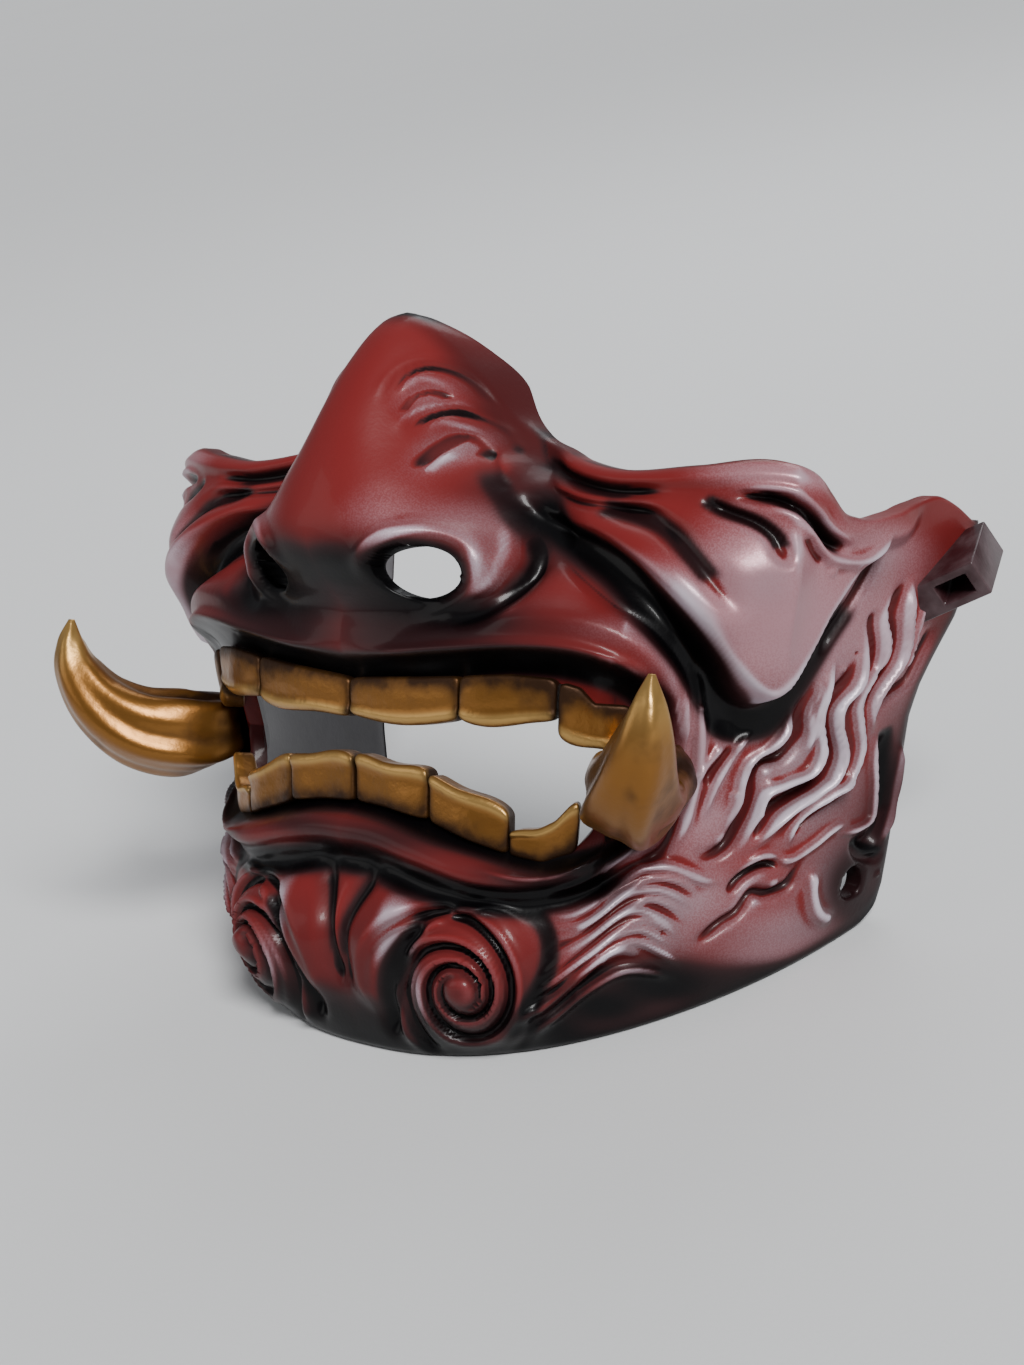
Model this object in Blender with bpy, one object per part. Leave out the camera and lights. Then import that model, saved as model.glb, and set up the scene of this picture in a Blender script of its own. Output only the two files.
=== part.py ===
# Oni half mask: a cast shell with teeth and tusks seated in it, resting on its lower rim
import math

import bmesh
import bpy
import numpy as np
from mathutils import Euler, Matrix, Vector

# Driving sizes, in metres
CHEEK_HALF_WIDTH = 0.0920
HOLLOW_DEPTH = 0.1020
FACE_HEIGHT = 0.1600
CHIN_DROP = 0.0740
WALL = 0.0038
RELIEF = 0.0100
SEAT_GAP = 0.0005
TOOTH_DEPTH = 0.0070
TUSK_REACH = 0.0220
TUSK_FORWARD = 0.0402
TUSK_RISE = 0.0200
TUSK_RADIUS = 0.0105
TUSK_SINK = 0.0045
NOSTRIL_LENGTH = 0.0190
NOSTRIL_WIDTH = 0.0110
STRAP_HOLE = 0.0072
LUG_OUT = 0.0131
LUG_LONG = 0.0177
LUG_THICK = 0.0085
SLOT_WIDE = 0.0075
SLOT_HIGH = 0.0045

# Angles, in degrees
LEAN = 23.2
LUG_TILT = 25.3
LUG_TOE = 7.25
LUG_PITCH = 35.0
NOSTRIL_TURN = 24.0
NOSTRIL_SPLAY = 30.0

# The face is drawn on a chart of squares, counted round from the nose line and up from the bite line
SQUARES_AROUND = 15
SQUARES_UP = 16
UP_SQUARE = FACE_HEIGHT / SQUARES_UP

# How finely the shell is divided
MOUTH_COLUMNS = 74
SIDE_COLUMNS = 50
LOWER_ROWS = 40
UPPER_ROWS = 46
SHELL_KEEP = 0.085
SECTION_STEPS = 240

# Horizontal sections: up in squares, half width and front as shares of the mask's width and depth
SECTIONS = (
    # up, half width, front, squareness
    (-8.0, 0.650, -0.130, 2.4),
    (-6.5, 0.740, -0.065, 2.5),
    (-5.0, 0.815, -0.035, 2.6),
    (-3.0, 0.860, -0.045, 2.6),
    (-1.2, 0.890, -0.045, 2.7),
    (0.5, 0.915, -0.010, 2.9),
    (1.4, 0.935, -0.010, 3.1),
    (3.0, 0.975, -0.110, 3.7),
    (4.4, 1.000, -0.220, 4.6),
    (5.6, 1.010, -0.270, 5.0),
    (8.6, 0.960, -0.320, 4.4),
)

# The nose: up in squares, front as a share of the depth, half width in squares
NOSE = (
    # up, front, half width
    (0.8, 0.010, 0.95),
    (1.5, 0.010, 1.60),
    (2.0, 0.020, 2.60),
    (2.5, 0.070, 3.60),
    (3.0, 0.118, 4.20),
    (3.6, 0.138, 4.35),
    (4.5, 0.128, 3.80),
    (5.4, 0.100, 3.00),
    (6.3, 0.062, 2.45),
    (7.2, 0.009, 2.05),
    (8.0, -0.063, 1.75),
    (8.6, -0.150, 1.50),
)

# Outlines on the chart: around, up
TOP_EDGE = ((0.0, 8.35), (0.5, 8.22), (0.9, 7.95), (1.3, 7.50), (1.7, 6.98), (2.1, 6.35), (2.6, 5.90),
            (3.4, 5.58), (4.3, 5.32), (5.5, 5.14), (7.0, 5.28), (8.4, 5.42), (9.0, 5.18), (9.6, 4.55),
            (10.1, 4.42), (11.2, 4.57), (12.2, 4.85), (13.0, 5.03), (13.6, 4.92), (14.4, 4.60))
UPPER_GUM = ((0.0, 0.42), (2.0, 0.58), (3.0, 0.68), (4.0, 0.78), (5.0, 0.76), (6.0, 0.66), (6.8, 0.45),
             (7.3, 0.0), (7.5, -0.70))
LOWER_GUM = ((0.0, -2.10), (1.0, -2.15), (2.0, -2.28), (3.0, -2.55), (4.0, -2.80), (5.0, -2.92),
             (6.0, -2.65), (6.8, -2.20), (7.3, -1.55), (7.5, -0.70))
MOUTH_CORNER = UPPER_GUM[-1]

# The back edge: up, around
BACK_EDGE = ((-4.2, 13.75), (-3.4, 13.90), (-1.5, 13.80), (0.3, 13.80), (1.0, 13.95), (1.6, 14.20),
             (2.5, 14.60), (3.6, 14.80), (5.0, 14.70))
BACK_AROUND = 13.8
HEEL_FROM = 13.2

# The lower edge of the raised cheek, and how far it stands up along that edge as a share of the relief
CHEEK_EDGE = ((2.6, 5.6), (3.5, 4.35), (4.3, 3.95), (5.2, 3.75), (6.0, 3.35), (6.6, 2.85), (7.2, 2.2),
              (7.8, 1.5), (8.4, 0.85), (8.9, 0.6), (9.3, 0.95), (9.7, 1.7), (10.1, 2.6), (10.6, 3.4),
              (11.3, 3.9), (12.0, 4.2), (12.6, 5.2))
CHEEK_RISE = ((0.0, 0.0), (0.12, 0.35), (0.35, 0.80), (0.60, 1.15), (0.72, 0.65), (0.85, 0.35), (1.0, 0.0))
CHEEK_FADE = ((0.0, 1.0), (1.0, 1.0), (3.0, 0.75), (5.0, 0.6))

# Broad folds that the wall follows on both sides
FOLDS = (
    # name, rise as a share of the relief, half width in squares, softness of the ends, route (around, up)
    ("valley", -0.30, 0.42, 0.12, ((3.0, 4.7), (3.7, 4.0), (4.6, 3.5), (5.6, 3.0), (6.6, 2.35), (7.4, 1.55),
                                   (8.0, 0.75), (8.6, 0.2), (9.3, 0.3))),
    ("upper_lip", 0.34, 0.75, 0.30, ((-2.0, 1.1), (1.2, 1.2), (3.0, 1.6), (4.5, 1.85), (5.8, 1.6), (7.0, 1.0),
                                     (7.7, 0.0), (7.9, -1.0))),
    ("lower_lip", 0.48, 0.52, 0.22, ((-3.0, -2.9), (0.5, -2.75), (2.0, -3.0), (3.6, -3.3), (5.0, -3.2),
                                     (6.2, -2.75), (7.2, -2.1), (7.8, -1.2))),
    ("lip_groove", -0.22, 0.30, 0.18, ((-2.0, -3.6), (0.5, -3.4), (2.0, -3.65), (3.6, -3.9), (5.0, -3.8),
                                       (6.2, -3.3), (7.2, -2.7), (7.9, -2.0))),
    ("jaw_hollow", -0.22, 0.80, 0.30, ((4.6, -6.2), (5.8, -5.9), (6.8, -5.5), (8.0, -5.4), (9.0, -5.2))),
)

# Rounded swellings: around, up, half size around, half size up, rise as a share of the relief
SWELLINGS = (
    ("chin", 0.0, -5.0, 2.4, 1.0, 0.42),
    ("spiral_boss", 3.6, -5.9, 1.7, 1.5, 0.45),
    ("cheekbone", 8.0, 3.2, 1.0, 0.9, 0.35),
    ("flame_field", 11.3, 0.2, 2.6, 3.2, 0.14),
)

# Ridges (rise above 0) and grooves (below 0) that are cut in the outer face only
STROKES = (
    # name, rise as a share of the relief, half width in squares, route (around, up)
    ("nose_wrinkle_1", -0.16, 0.13, ((0.85, 6.2), (0.92, 6.95), (1.2, 7.12), (1.6, 6.85), (2.0, 6.25), (2.4, 5.7))),
    ("nose_wrinkle_2", -0.16, 0.13, ((1.4, 5.6), (1.42, 6.0), (1.65, 6.2), (2.0, 6.05), (2.4, 5.6), (2.8, 5.15))),
    ("nose_wrinkle_3", -0.14, 0.14, ((1.8, 4.8), (1.78, 5.3), (1.95, 5.7), (2.2, 5.5), (2.5, 5.15))),
    ("nose_fold_1", 0.12, 0.12, ((0.95, 6.4), (1.1, 6.88), (1.4, 6.82), (1.8, 6.4), (2.2, 5.95))),
    ("nose_fold_2", 0.12, 0.12, ((1.55, 5.6), (1.6, 5.95), (1.75, 6.0), (2.1, 5.8), (2.5, 5.35), (3.0, 4.7))),
    ("nostril_rim", 0.24, 0.20, ((0.9, 2.45), (1.25, 3.0), (1.8, 3.5), (2.5, 3.7), (3.1, 3.5), (3.3, 3.0),
                                 (3.1, 2.45), (2.5, 2.1), (1.7, 1.95))),
    ("wing_crease", -0.26, 0.20, ((2.7, 4.9), (3.15, 4.25), (3.65, 3.7), (3.95, 3.15), (3.85, 2.5), (3.4, 2.05),
                                  (2.6, 1.8))),
    ("brow_roll", 0.22, 0.22, ((2.8, 5.62), (4.0, 5.2), (5.5, 4.95), (7.0, 5.05), (8.1, 5.15), (8.7, 5.05),
                               (9.1, 4.7), (9.6, 4.25), (10.1, 4.15), (10.8, 4.3))),
    ("brow_groove", -0.22, 0.16, ((2.9, 5.35), (3.6, 5.1), (4.4, 4.85), (5.2, 4.7), (5.9, 4.7), (6.6, 4.75))),
    ("temple_groove_1", -0.28, 0.15, ((7.1, 4.65), (7.5, 4.4), (8.0, 4.2), (8.3, 3.95), (8.45, 3.6), (8.6, 3.25))),
    ("temple_groove_2", -0.28, 0.14, ((7.6, 4.7), (8.1, 4.7), (8.45, 4.62), (8.85, 4.3), (9.3, 3.95), (9.9, 3.7))),
    ("temple_ridge_1", 0.18, 0.12, ((7.5, 4.8), (8.0, 4.86), (8.5, 4.82), (8.95, 4.5), (9.4, 4.1), (10.1, 3.85))),
    ("temple_ridge_2", 0.20, 0.13, ((8.0, 4.45), (8.5, 4.42), (8.9, 4.05), (9.3, 3.65), (9.7, 3.52), (10.3, 3.55),
                                    (10.8, 3.8), (11.3, 4.2))),
    ("muscle_groove", -0.26, 0.24, ((5.0, 4.4), (6.0, 4.2), (6.6, 3.95), (7.1, 3.45), (7.5, 2.9), (8.0, 2.2))),
    ("muscle_ridge", 0.20, 0.35, ((4.0, 4.35), (5.0, 4.1), (6.0, 3.7), (6.8, 3.05), (7.5, 2.35), (8.2, 1.5))),
    ("flame_groove_1", -0.28, 0.17, ((12.4, 3.3), (12.2, 2.8), (12.15, 2.4), (12.4, 1.9), (12.4, 1.5), (12.1, 1.0),
                                     (11.9, 0.6), (11.8, 0.2))),
    ("flame_groove_2", -0.20, 0.13, ((11.5, 2.6), (11.65, 2.2), (11.85, 1.7), (11.9, 1.1))),
    ("flame_groove_3", -0.28, 0.18, ((11.25, 1.6), (11.3, 1.2), (11.05, 0.75), (10.85, 0.35), (10.95, -0.1),
                                     (11.15, -0.6), (10.85, -1.1), (10.3, -1.4), (9.8, -1.7), (9.5, -2.1),
                                     (9.1, -2.5))),
    ("flame_groove_4", -0.28, 0.18, ((10.4, 0.95), (10.2, 0.4), (10.2, -0.1), (9.9, -0.55), (9.4, -0.7), (9.2, -1.1),
                                     (9.15, -1.7), (8.9, -2.4), (8.4, -2.7), (8.05, -2.4))),
    ("flame_groove_5", -0.20, 0.15, ((13.75, 2.4), (13.55, 1.7), (13.3, 1.1), (12.9, 0.85), (12.4, 0.6), (12.1, 0.2))),
    ("back_recess", -0.26, 0.26, ((12.75, 0.1), (12.9, -0.5), (13.1, -1.2), (13.2, -1.9), (13.1, -2.4),
                                  (12.6, -2.45), (12.2, -2.3))),
    ("flame_groove_6", -0.18, 0.14, ((11.7, -1.3), (11.2, -1.5), (10.7, -1.85), (10.4, -2.3))),
    ("flame_groove_7", -0.24, 0.14, ((11.0, -2.7), (10.8, -3.0), (10.6, -3.35), (10.1, -3.5), (9.7, -3.5), (9.4, -3.9),
                                     (9.0, -4.15), (8.3, -4.7))),
    ("flame_groove_8", -0.24, 0.13, ((10.4, -2.8), (9.8, -2.9), (9.3, -3.2), (9.0, -3.6))),
    ("flame_ridge_1", 0.24, 0.14, ((12.5, 3.4), (12.55, 2.6), (12.75, 1.9), (12.7, 1.45), (12.4, 1.05), (12.2, 0.7),
                                   (12.15, 0.3), (12.4, -0.2))),
    ("flame_ridge_2", 0.22, 0.14, ((11.9, 3.1), (11.95, 2.5), (12.1, 1.6), (11.75, 1.0), (11.6, 0.6), (11.75, 0.1),
                                   (11.9, -0.4), (11.7, -1.0), (11.2, -1.4), (10.6, -1.8), (10.35, -2.4))),
    ("flame_ridge_3", 0.22, 0.14, ((11.45, 2.3), (11.6, 1.4), (11.45, 0.9), (11.15, 0.5), (11.15, 0.1), (11.42, -0.5),
                                   (11.3, -1.0), (10.9, -1.3), (10.2, -1.75), (9.7, -2.25), (9.2, -2.75))),
    ("flame_ridge_4", 0.24, 0.14, ((10.75, 1.8), (10.7, 1.1), (10.6, 0.5), (10.65, 0.1), (10.8, -0.4), (10.6, -0.9),
                                   (10.0, -1.15), (9.5, -1.4), (9.4, -2.0), (9.1, -2.7))),
    ("flame_ridge_5", 0.18, 0.14, ((9.9, 0.5), (9.85, 0.0), (9.5, -0.45), (9.05, -0.8), (8.95, -1.5), (8.7, -2.2))),
    ("mouth_roll", 0.16, 0.14, ((7.6, 1.6), (7.85, 0.7), (7.95, -0.4), (7.9, -1.3), (7.75, -2.1), (7.5, -2.7))),
    ("beard_ridge_1", 0.18, 0.12, ((4.9, -4.0), (5.5, -4.05), (6.0, -3.8), (6.5, -3.35), (7.0, -3.0), (7.6, -2.95),
                                   (8.4, -3.2))),
    ("beard_ridge_2", 0.18, 0.12, ((5.2, -4.55), (5.7, -4.4), (6.2, -3.95), (6.7, -3.55), (7.2, -3.4), (7.7, -3.5),
                                   (8.3, -3.85))),
    ("beard_ridge_3", 0.18, 0.12, ((4.9, -5.6), (5.4, -5.1), (6.0, -4.55), (6.5, -4.05), (7.0, -3.85), (7.5, -4.0),
                                   (8.2, -4.35))),
    ("beard_ridge_4", 0.18, 0.12, ((4.8, -5.95), (5.4, -5.4), (6.0, -4.85), (6.6, -4.4), (7.1, -4.25), (7.6, -4.45),
                                   (8.2, -4.75))),
    ("beard_ridge_5", 0.18, 0.13, ((4.4, -6.5), (5.2, -6.0), (5.8, -5.45), (6.3, -4.95), (6.8, -4.7), (7.4, -4.85))),
    ("chin_crease", -0.22, 0.14, ((0.3, -3.7), (0.45, -4.3), (0.4, -4.9), (0.12, -5.6))),
    ("chin_lobe", 0.22, 0.30, ((2.2, -4.15), (1.75, -4.6), (1.35, -5.2), (0.9, -5.85), (0.4, -6.3))),
    ("chin_undercut", -0.20, 0.22, ((2.35, -4.45), (1.95, -5.1), (1.45, -5.8), (0.8, -6.5))),
)

# The spiral: where it sits on the chart, in squares, and how tightly its arms wind
SPIRAL_AT = (3.55, -5.80)
SPIRAL_HEART = 0.42
SPIRAL_EDGE = 1.75
SPIRAL_ARMS = 3
SPIRAL_WIND = 20.0
SPIRAL_RISE = 0.17

# Teeth of one side: name, from and to around, biting edge at each end, all in squares
UPPER_TEETH = (
    ("upper_incisor_inner", 0.0, 2.96, -0.42, -0.30),
    ("upper_incisor_outer", 2.96, 5.08, -0.26, -0.12),
    ("upper_side_tooth", 5.08, 5.90, -0.50, -0.70),
)
LOWER_TEETH = (
    ("lower_incisor_inner", 0.0, 2.12, -1.12, -1.28),
    ("lower_incisor_outer", 2.12, 4.12, -1.32, -1.95),
    ("lower_canine", 4.12, 5.60, -2.30, -2.02),
)
TOOTH_PROUD = 0.12
TOOTH_BOXINESS = 9
TOOTH_CUTS = 3

# Tusk axis from root to tip, as shares of its reach, forward run, rise and radius
TUSK_ROOT_AT = (7.85, -0.8)
TUSK = (
    # out, forward, up, radius
    (0.00, 0.00, 0.00, 0.45),
    (-0.02, 0.20, -0.14, 0.74),
    (0.06, 0.47, -0.26, 0.98),
    (0.36, 0.70, -0.22, 0.93),
    (0.68, 0.87, 0.03, 0.76),
    (0.91, 0.97, 0.40, 0.55),
    (0.99, 1.00, 0.72, 0.33),
    (1.00, 1.00, 1.00, 0.07),
)
TUSK_SIDES = 14
TUSK_STEPS = 2

# Where the holes and the strap lug sit on the chart
NOSTRIL_AT = (2.12, 2.82)
STRAP_HOLE_AT = (12.6, -3.35)
LUG_AT = (12.75, 3.1)
CUT_DEPTH = 0.0240


def clear_scene():
    for thing in list(bpy.data.objects):
        bpy.data.objects.remove(thing, do_unlink=True)


def hermite(place, places, values):
    # A smooth curve through the rows of a table
    places = np.asarray(places, float)
    values = np.asarray(values, float)
    slopes = np.gradient(values, places, axis=0)
    place = np.clip(place, places[0], places[-1])
    row = np.clip(np.searchsorted(places, place) - 1, 0, len(places) - 2)
    span = places[row + 1] - places[row]
    t = (place - places[row]) / span
    return ((2*t**3 - 3*t**2 + 1)*values[row] + (t**3 - 2*t**2 + t)*span*slopes[row]
            + (3*t**2 - 2*t**3)*values[row + 1] + (t**3 - t**2)*span*slopes[row + 1])


def linear(place, rows):
    return np.interp(place, [row[0] for row in rows], [row[1] for row in rows])


def smooth_step(x):
    x = np.clip(x, 0.0, 1.0)
    return x*x*(3 - 2*x)


def section_curves():
    # Each section's half outline, from the nose line to the back, evenly spaced along itself
    angle = np.linspace(0, math.pi/2, 8*SECTION_STEPS)
    share = np.linspace(0, 1, SECTION_STEPS + 1)
    curves = []
    for _, half_width, front, squareness in SECTIONS:
        x = np.sin(angle)**(2/squareness) * half_width*CHEEK_HALF_WIDTH
        back = 1 - np.cos(angle)**(2/squareness)
        forward = (front - (1 + front)*back) * HOLLOW_DEPTH
        run = np.concatenate([[0], np.cumsum(np.hypot(np.diff(x), np.diff(forward)))])
        run /= run[-1]
        curves.append((np.interp(share, run, x), -np.interp(share, run, forward)))
    return np.array(curves)


CURVES = section_curves()
CURVE_UPS = np.array([row[0] for row in SECTIONS])


def between_sections(values, around, up):
    # Reads a value off the lofted sections at chart places (around, up)
    step = np.clip(np.abs(around)/SQUARES_AROUND, 0, 1) * SECTION_STEPS
    low = np.minimum(step.astype(int), SECTION_STEPS - 1)
    part = step - low
    up = np.clip(up, CURVE_UPS[0], CURVE_UPS[-1])
    row = np.clip(np.searchsorted(CURVE_UPS, up) - 1, 0, len(CURVE_UPS) - 2)
    slopes = np.gradient(values, CURVE_UPS, axis=0)
    span = CURVE_UPS[row + 1] - CURVE_UPS[row]
    t = (up - CURVE_UPS[row]) / span

    def read(table, at_row):
        return table[at_row, low]*(1 - part) + table[at_row, low + 1]*part

    return ((2*t**3 - 3*t**2 + 1)*read(values, row) + (t**3 - 2*t**2 + t)*span*read(slopes, row)
            + (3*t**2 - 2*t**3)*read(values, row + 1) + (t**3 - t**2)*span*read(slopes, row + 1))


def base_surface(around, up):
    # The plain bent wall: points, and its level outward directions
    side = np.where(around < 0, -1.0, 1.0)
    across, back = CURVES[:, 0, :], CURVES[:, 1, :]
    x = between_sections(across, around, up)
    y = between_sections(back, around, up)
    run_x = between_sections(np.gradient(across, axis=1), around, up)
    run_y = between_sections(np.gradient(back, axis=1), around, up)
    length = np.hypot(run_x, run_y)
    points = np.stack([side*x, y, up*UP_SQUARE], axis=-1)
    outward = np.stack([side*run_y/length, -run_x/length, np.zeros_like(x)], axis=-1)
    return points, outward


def smooth_route(route, steps=6):
    # A smooth curve through a few points
    points = np.asarray(route, float)
    padded = np.vstack([2*points[0] - points[1], points, 2*points[-1] - points[-2]])
    t = np.linspace(0, 1, steps, endpoint=False)[:, None]
    pieces = []
    for a, b, c, d in zip(padded, padded[1:], padded[2:], padded[3:]):
        pieces.append(0.5*(2*b + (c - a)*t + (2*a - 5*b + 4*c - d)*t**2 + (3*b - a - 3*c + d)*t**3))
    return np.vstack(pieces + [points[-1]])


def beside_route(around, up, route):
    # Distance to the left of a route, in squares, and how far along it, from 0 to 1
    points = smooth_route(route)
    runs = np.diff(points, axis=0)
    lengths = np.hypot(runs[:, 0], runs[:, 1])
    starts = np.concatenate([[0], np.cumsum(lengths)])
    nearest = np.full(np.shape(around), np.inf)
    share = np.zeros(np.shape(around))
    for point, run, length, start in zip(points, runs, lengths, starts):
        off_x, off_y = around - point[0], up - point[1]
        t = np.clip((off_x*run[0] + off_y*run[1])/length**2, 0, 1)
        gap = np.hypot(off_x - t*run[0], off_y - t*run[1])
        closer = gap < np.abs(nearest)
        left = np.where(run[0]*off_y - run[1]*off_x >= 0, 1.0, -1.0)
        nearest = np.where(closer, gap*left, nearest)
        share = np.where(closer, (start + t*length)/starts[-1], share)
    return nearest, share


def stroke(around, up, rise, half_width, softness, route):
    beside, share = beside_route(around, up, route)
    ends = smooth_step(np.minimum(share, 1 - share)/softness)
    return rise*RELIEF * np.exp(-(beside/half_width)**2) * ends


def nose_relief(around, up, inside):
    # The nose stands forward of the base; its hollow is narrower by one wall
    ups = [row[0] for row in NOSE]
    front = hermite(up, ups, [row[1] for row in NOSE]) * HOLLOW_DEPTH
    half_width = hermite(up, ups, [row[2] for row in NOSE]) - inside*WALL/UP_SQUARE*1.1
    base_front = hermite(up, CURVE_UPS, [row[2] for row in SECTIONS]) * HOLLOW_DEPTH
    across = np.clip(np.abs(around)/np.maximum(half_width, 0.1), 0, 1)
    return (front - base_front) * np.clip(1 - across**2.4, 0, 1)**1.5 * smooth_step(up - 0.6)


def cheek_relief(around, up, inside):
    beside, share = beside_route(np.abs(around), up, CHEEK_EDGE)
    rise = linear(share, CHEEK_RISE) * linear(np.clip(beside, 0, None), CHEEK_FADE)
    # Inside, the step lies further up and is gentler, so the wall keeps its thickness
    step = (beside - 0.15)/1.1 if inside else (beside + 0.35)/0.6
    return RELIEF * rise * smooth_step(step)


def lip_tuck(around, up):
    # Both lips turn in towards the teeth at the mouth's edge
    away = np.abs(around)
    above = np.clip(up - linear(away, UPPER_GUM), 0, None)
    below = np.clip(linear(away, LOWER_GUM) - up, 0, None)
    near = np.where(up > MOUTH_CORNER[1], np.exp(-(above/0.45)**2), np.exp(-(below/0.30)**2))
    return -0.25*RELIEF * near * (1 - smooth_step((away - 7.2)/0.8))


def swelling_relief(around, up):
    total = 0.0
    for _, at_around, at_up, wide, high, rise in SWELLINGS:
        total = total + rise*RELIEF * np.exp(-((around - at_around)/wide)**2 - ((up - at_up)/high)**2)
    return total


def spiral_relief(around, up):
    # Arms that wind in clockwise on a growing spiral round a round heart
    x, y = around - SPIRAL_AT[0], up - SPIRAL_AT[1]
    radius = np.hypot(x, y) + 1e-6
    turn = np.arctan2(y, x)
    arms = np.cos(SPIRAL_WIND*np.log(radius/SPIRAL_HEART) - SPIRAL_ARMS*turn)
    fade = smooth_step((radius - 0.8*SPIRAL_HEART)/0.3) * (1 - smooth_step((radius - 0.8*SPIRAL_EDGE)/0.6))
    heart = 1.2*np.exp(-(radius/SPIRAL_HEART)**4)
    return SPIRAL_RISE*RELIEF * (arms*fade + heart)


def edge_fade(around, up):
    # The relief dies away at the lower rim and the back edge
    lower = smooth_step((up - floor_up(around))/0.5)
    back = smooth_step((linear(up, BACK_EDGE) - around)/0.35)
    return lower*back


def relief(around, up, inside=False):
    away = np.abs(around)
    total = nose_relief(away, up, inside) + lip_tuck(away, up)
    for _, rise, half_width, softness, route in FOLDS:
        total = total + stroke(away, up, rise, half_width, softness, route)
    fade = edge_fade(away, up)
    total = total + cheek_relief(away, up, inside)*fade
    if inside:
        return total*fade - WALL
    total = total + swelling_relief(away, up) + spiral_relief(away, up)
    for _, rise, half_width, route in STROKES:
        total = total + stroke(away, up, rise, half_width, 0.12, route)
    return total*fade


def face_point(around, up, inside=False, extra=0.0):
    points, outward = base_surface(around, up)
    return points + outward*(relief(around, up, inside) + extra)[..., None]


def floor_up(around):
    # Height on the chart at which the wall meets the surface that the mask rests on
    lean = math.radians(LEAN)
    up = np.full(np.shape(around), -CHIN_DROP/UP_SQUARE)
    for _ in range(8):
        y = base_surface(around, up)[0][..., 1]
        up = (y*math.sin(lean) - CHIN_DROP)/math.cos(lean)/UP_SQUARE
    heel = np.clip((np.abs(around) - HEEL_FROM)/(BACK_AROUND - HEEL_FROM), 0, 1)
    return up + 0.6*(1 - np.sqrt(1 - 0.999*heel**2))


def column_places():
    # Squares from the nose line of each column of the shell's grid
    mouth = np.linspace(0, MOUTH_CORNER[0], MOUTH_COLUMNS + 1)
    side = np.linspace(MOUTH_CORNER[0], BACK_AROUND, SIDE_COLUMNS + 1)
    return np.concatenate([mouth, side[1:]])


def chart_place(column, row):
    # Chart place of a grid crossing, from its column and row numbers
    away = column_places()[np.abs(column)]
    corner_up = np.full(np.shape(away), MOUTH_CORNER[1])
    closed = away >= MOUTH_CORNER[0]
    mouth_low = np.where(closed, corner_up, linear(away, LOWER_GUM))
    mouth_high = np.where(closed, corner_up, linear(away, UPPER_GUM))
    past = np.clip((away - MOUTH_CORNER[0])/(BACK_AROUND - MOUTH_CORNER[0]), 0, 1)**3
    bottom = floor_up(away)
    top = hermite(away + past*(BACK_EDGE[-1][1] - BACK_AROUND), [p[0] for p in TOP_EDGE], [p[1] for p in TOP_EDGE])
    lower_share = row/LOWER_ROWS
    upper_share = (row - LOWER_ROWS - 1)/UPPER_ROWS
    up = np.where(row <= LOWER_ROWS, bottom + (mouth_low - bottom)*lower_share,
                  mouth_high + (top - mouth_high)*upper_share)
    away = away + (linear(up, BACK_EDGE) - BACK_AROUND)*past
    return np.where(column < 0, -away, away), up


def new_object(name, bm, parent, material=None):
    bm.normal_update()
    bmesh.ops.recalc_face_normals(bm, faces=bm.faces[:])
    mesh = bpy.data.meshes.new(name)
    bm.to_mesh(mesh)
    bm.free()
    mesh.shade_smooth()
    thing = bpy.data.objects.new(name, mesh)
    bpy.context.scene.collection.objects.link(thing)
    thing.parent = parent
    if material:
        mesh.materials.append(material)
    return thing


def paint(name, colour, roughness, metallic):
    material = bpy.data.materials.new(name)
    material.use_nodes = True
    surface = material.node_tree.nodes["Principled BSDF"]
    surface.inputs["Base Color"].default_value = (*colour, 1.0)
    surface.inputs["Roughness"].default_value = roughness
    surface.inputs["Metallic"].default_value = metallic
    return material


def guide(thing):
    thing.hide_render = True
    thing.display_type = 'WIRE'
    return thing


def shell(parent):
    # A flat slab in rows and columns, open at the mouth, bent to the face
    columns = MOUTH_COLUMNS + SIDE_COLUMNS
    rows = LOWER_ROWS + 1 + UPPER_ROWS
    bm = bmesh.new()
    bmesh.ops.create_grid(bm, x_segments=2*columns, y_segments=rows, size=0.5)
    for vert in bm.verts:
        vert.co.x *= 2*columns
        vert.co.y = (vert.co.y + 0.5)*rows
    mouth = [face for face in bm.faces
             if abs(face.calc_center_median().x) < MOUTH_COLUMNS
             and LOWER_ROWS < face.calc_center_median().y < LOWER_ROWS + 1]
    bmesh.ops.delete(bm, geom=mouth, context='FACES')
    bmesh.ops.solidify(bm, geom=bm.faces[:], thickness=0.2)
    flat = np.array([vert.co[:] for vert in bm.verts])
    column = np.rint(flat[:, 0]).astype(int)
    row = np.rint(flat[:, 1]).astype(int)
    inside = np.abs(flat[:, 2]) > 0.1
    around, up = chart_place(column, row)
    outer = face_point(around, up)
    inner = face_point(around, up, inside=True)
    places = np.where(inside[:, None], inner, outer)
    # The lower rim lies flat on the floor, inside and out
    lean = math.radians(LEAN)
    seated = (places[:, 1]*math.sin(lean) - CHIN_DROP)/math.cos(lean)
    flat_rim = (row == 0) & (np.abs(around) <= HEEL_FROM)
    places[:, 2] = np.where(flat_rim, seated, places[:, 2])
    for vert, place in zip(bm.verts, places):
        vert.co = place
    bmesh.ops.remove_doubles(bm, verts=bm.verts[:], dist=1e-6)
    return new_object("mask_shell", bm, parent, paint("lacquer", (0.33, 0.03, 0.035), 0.3, 0.1))


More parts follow.
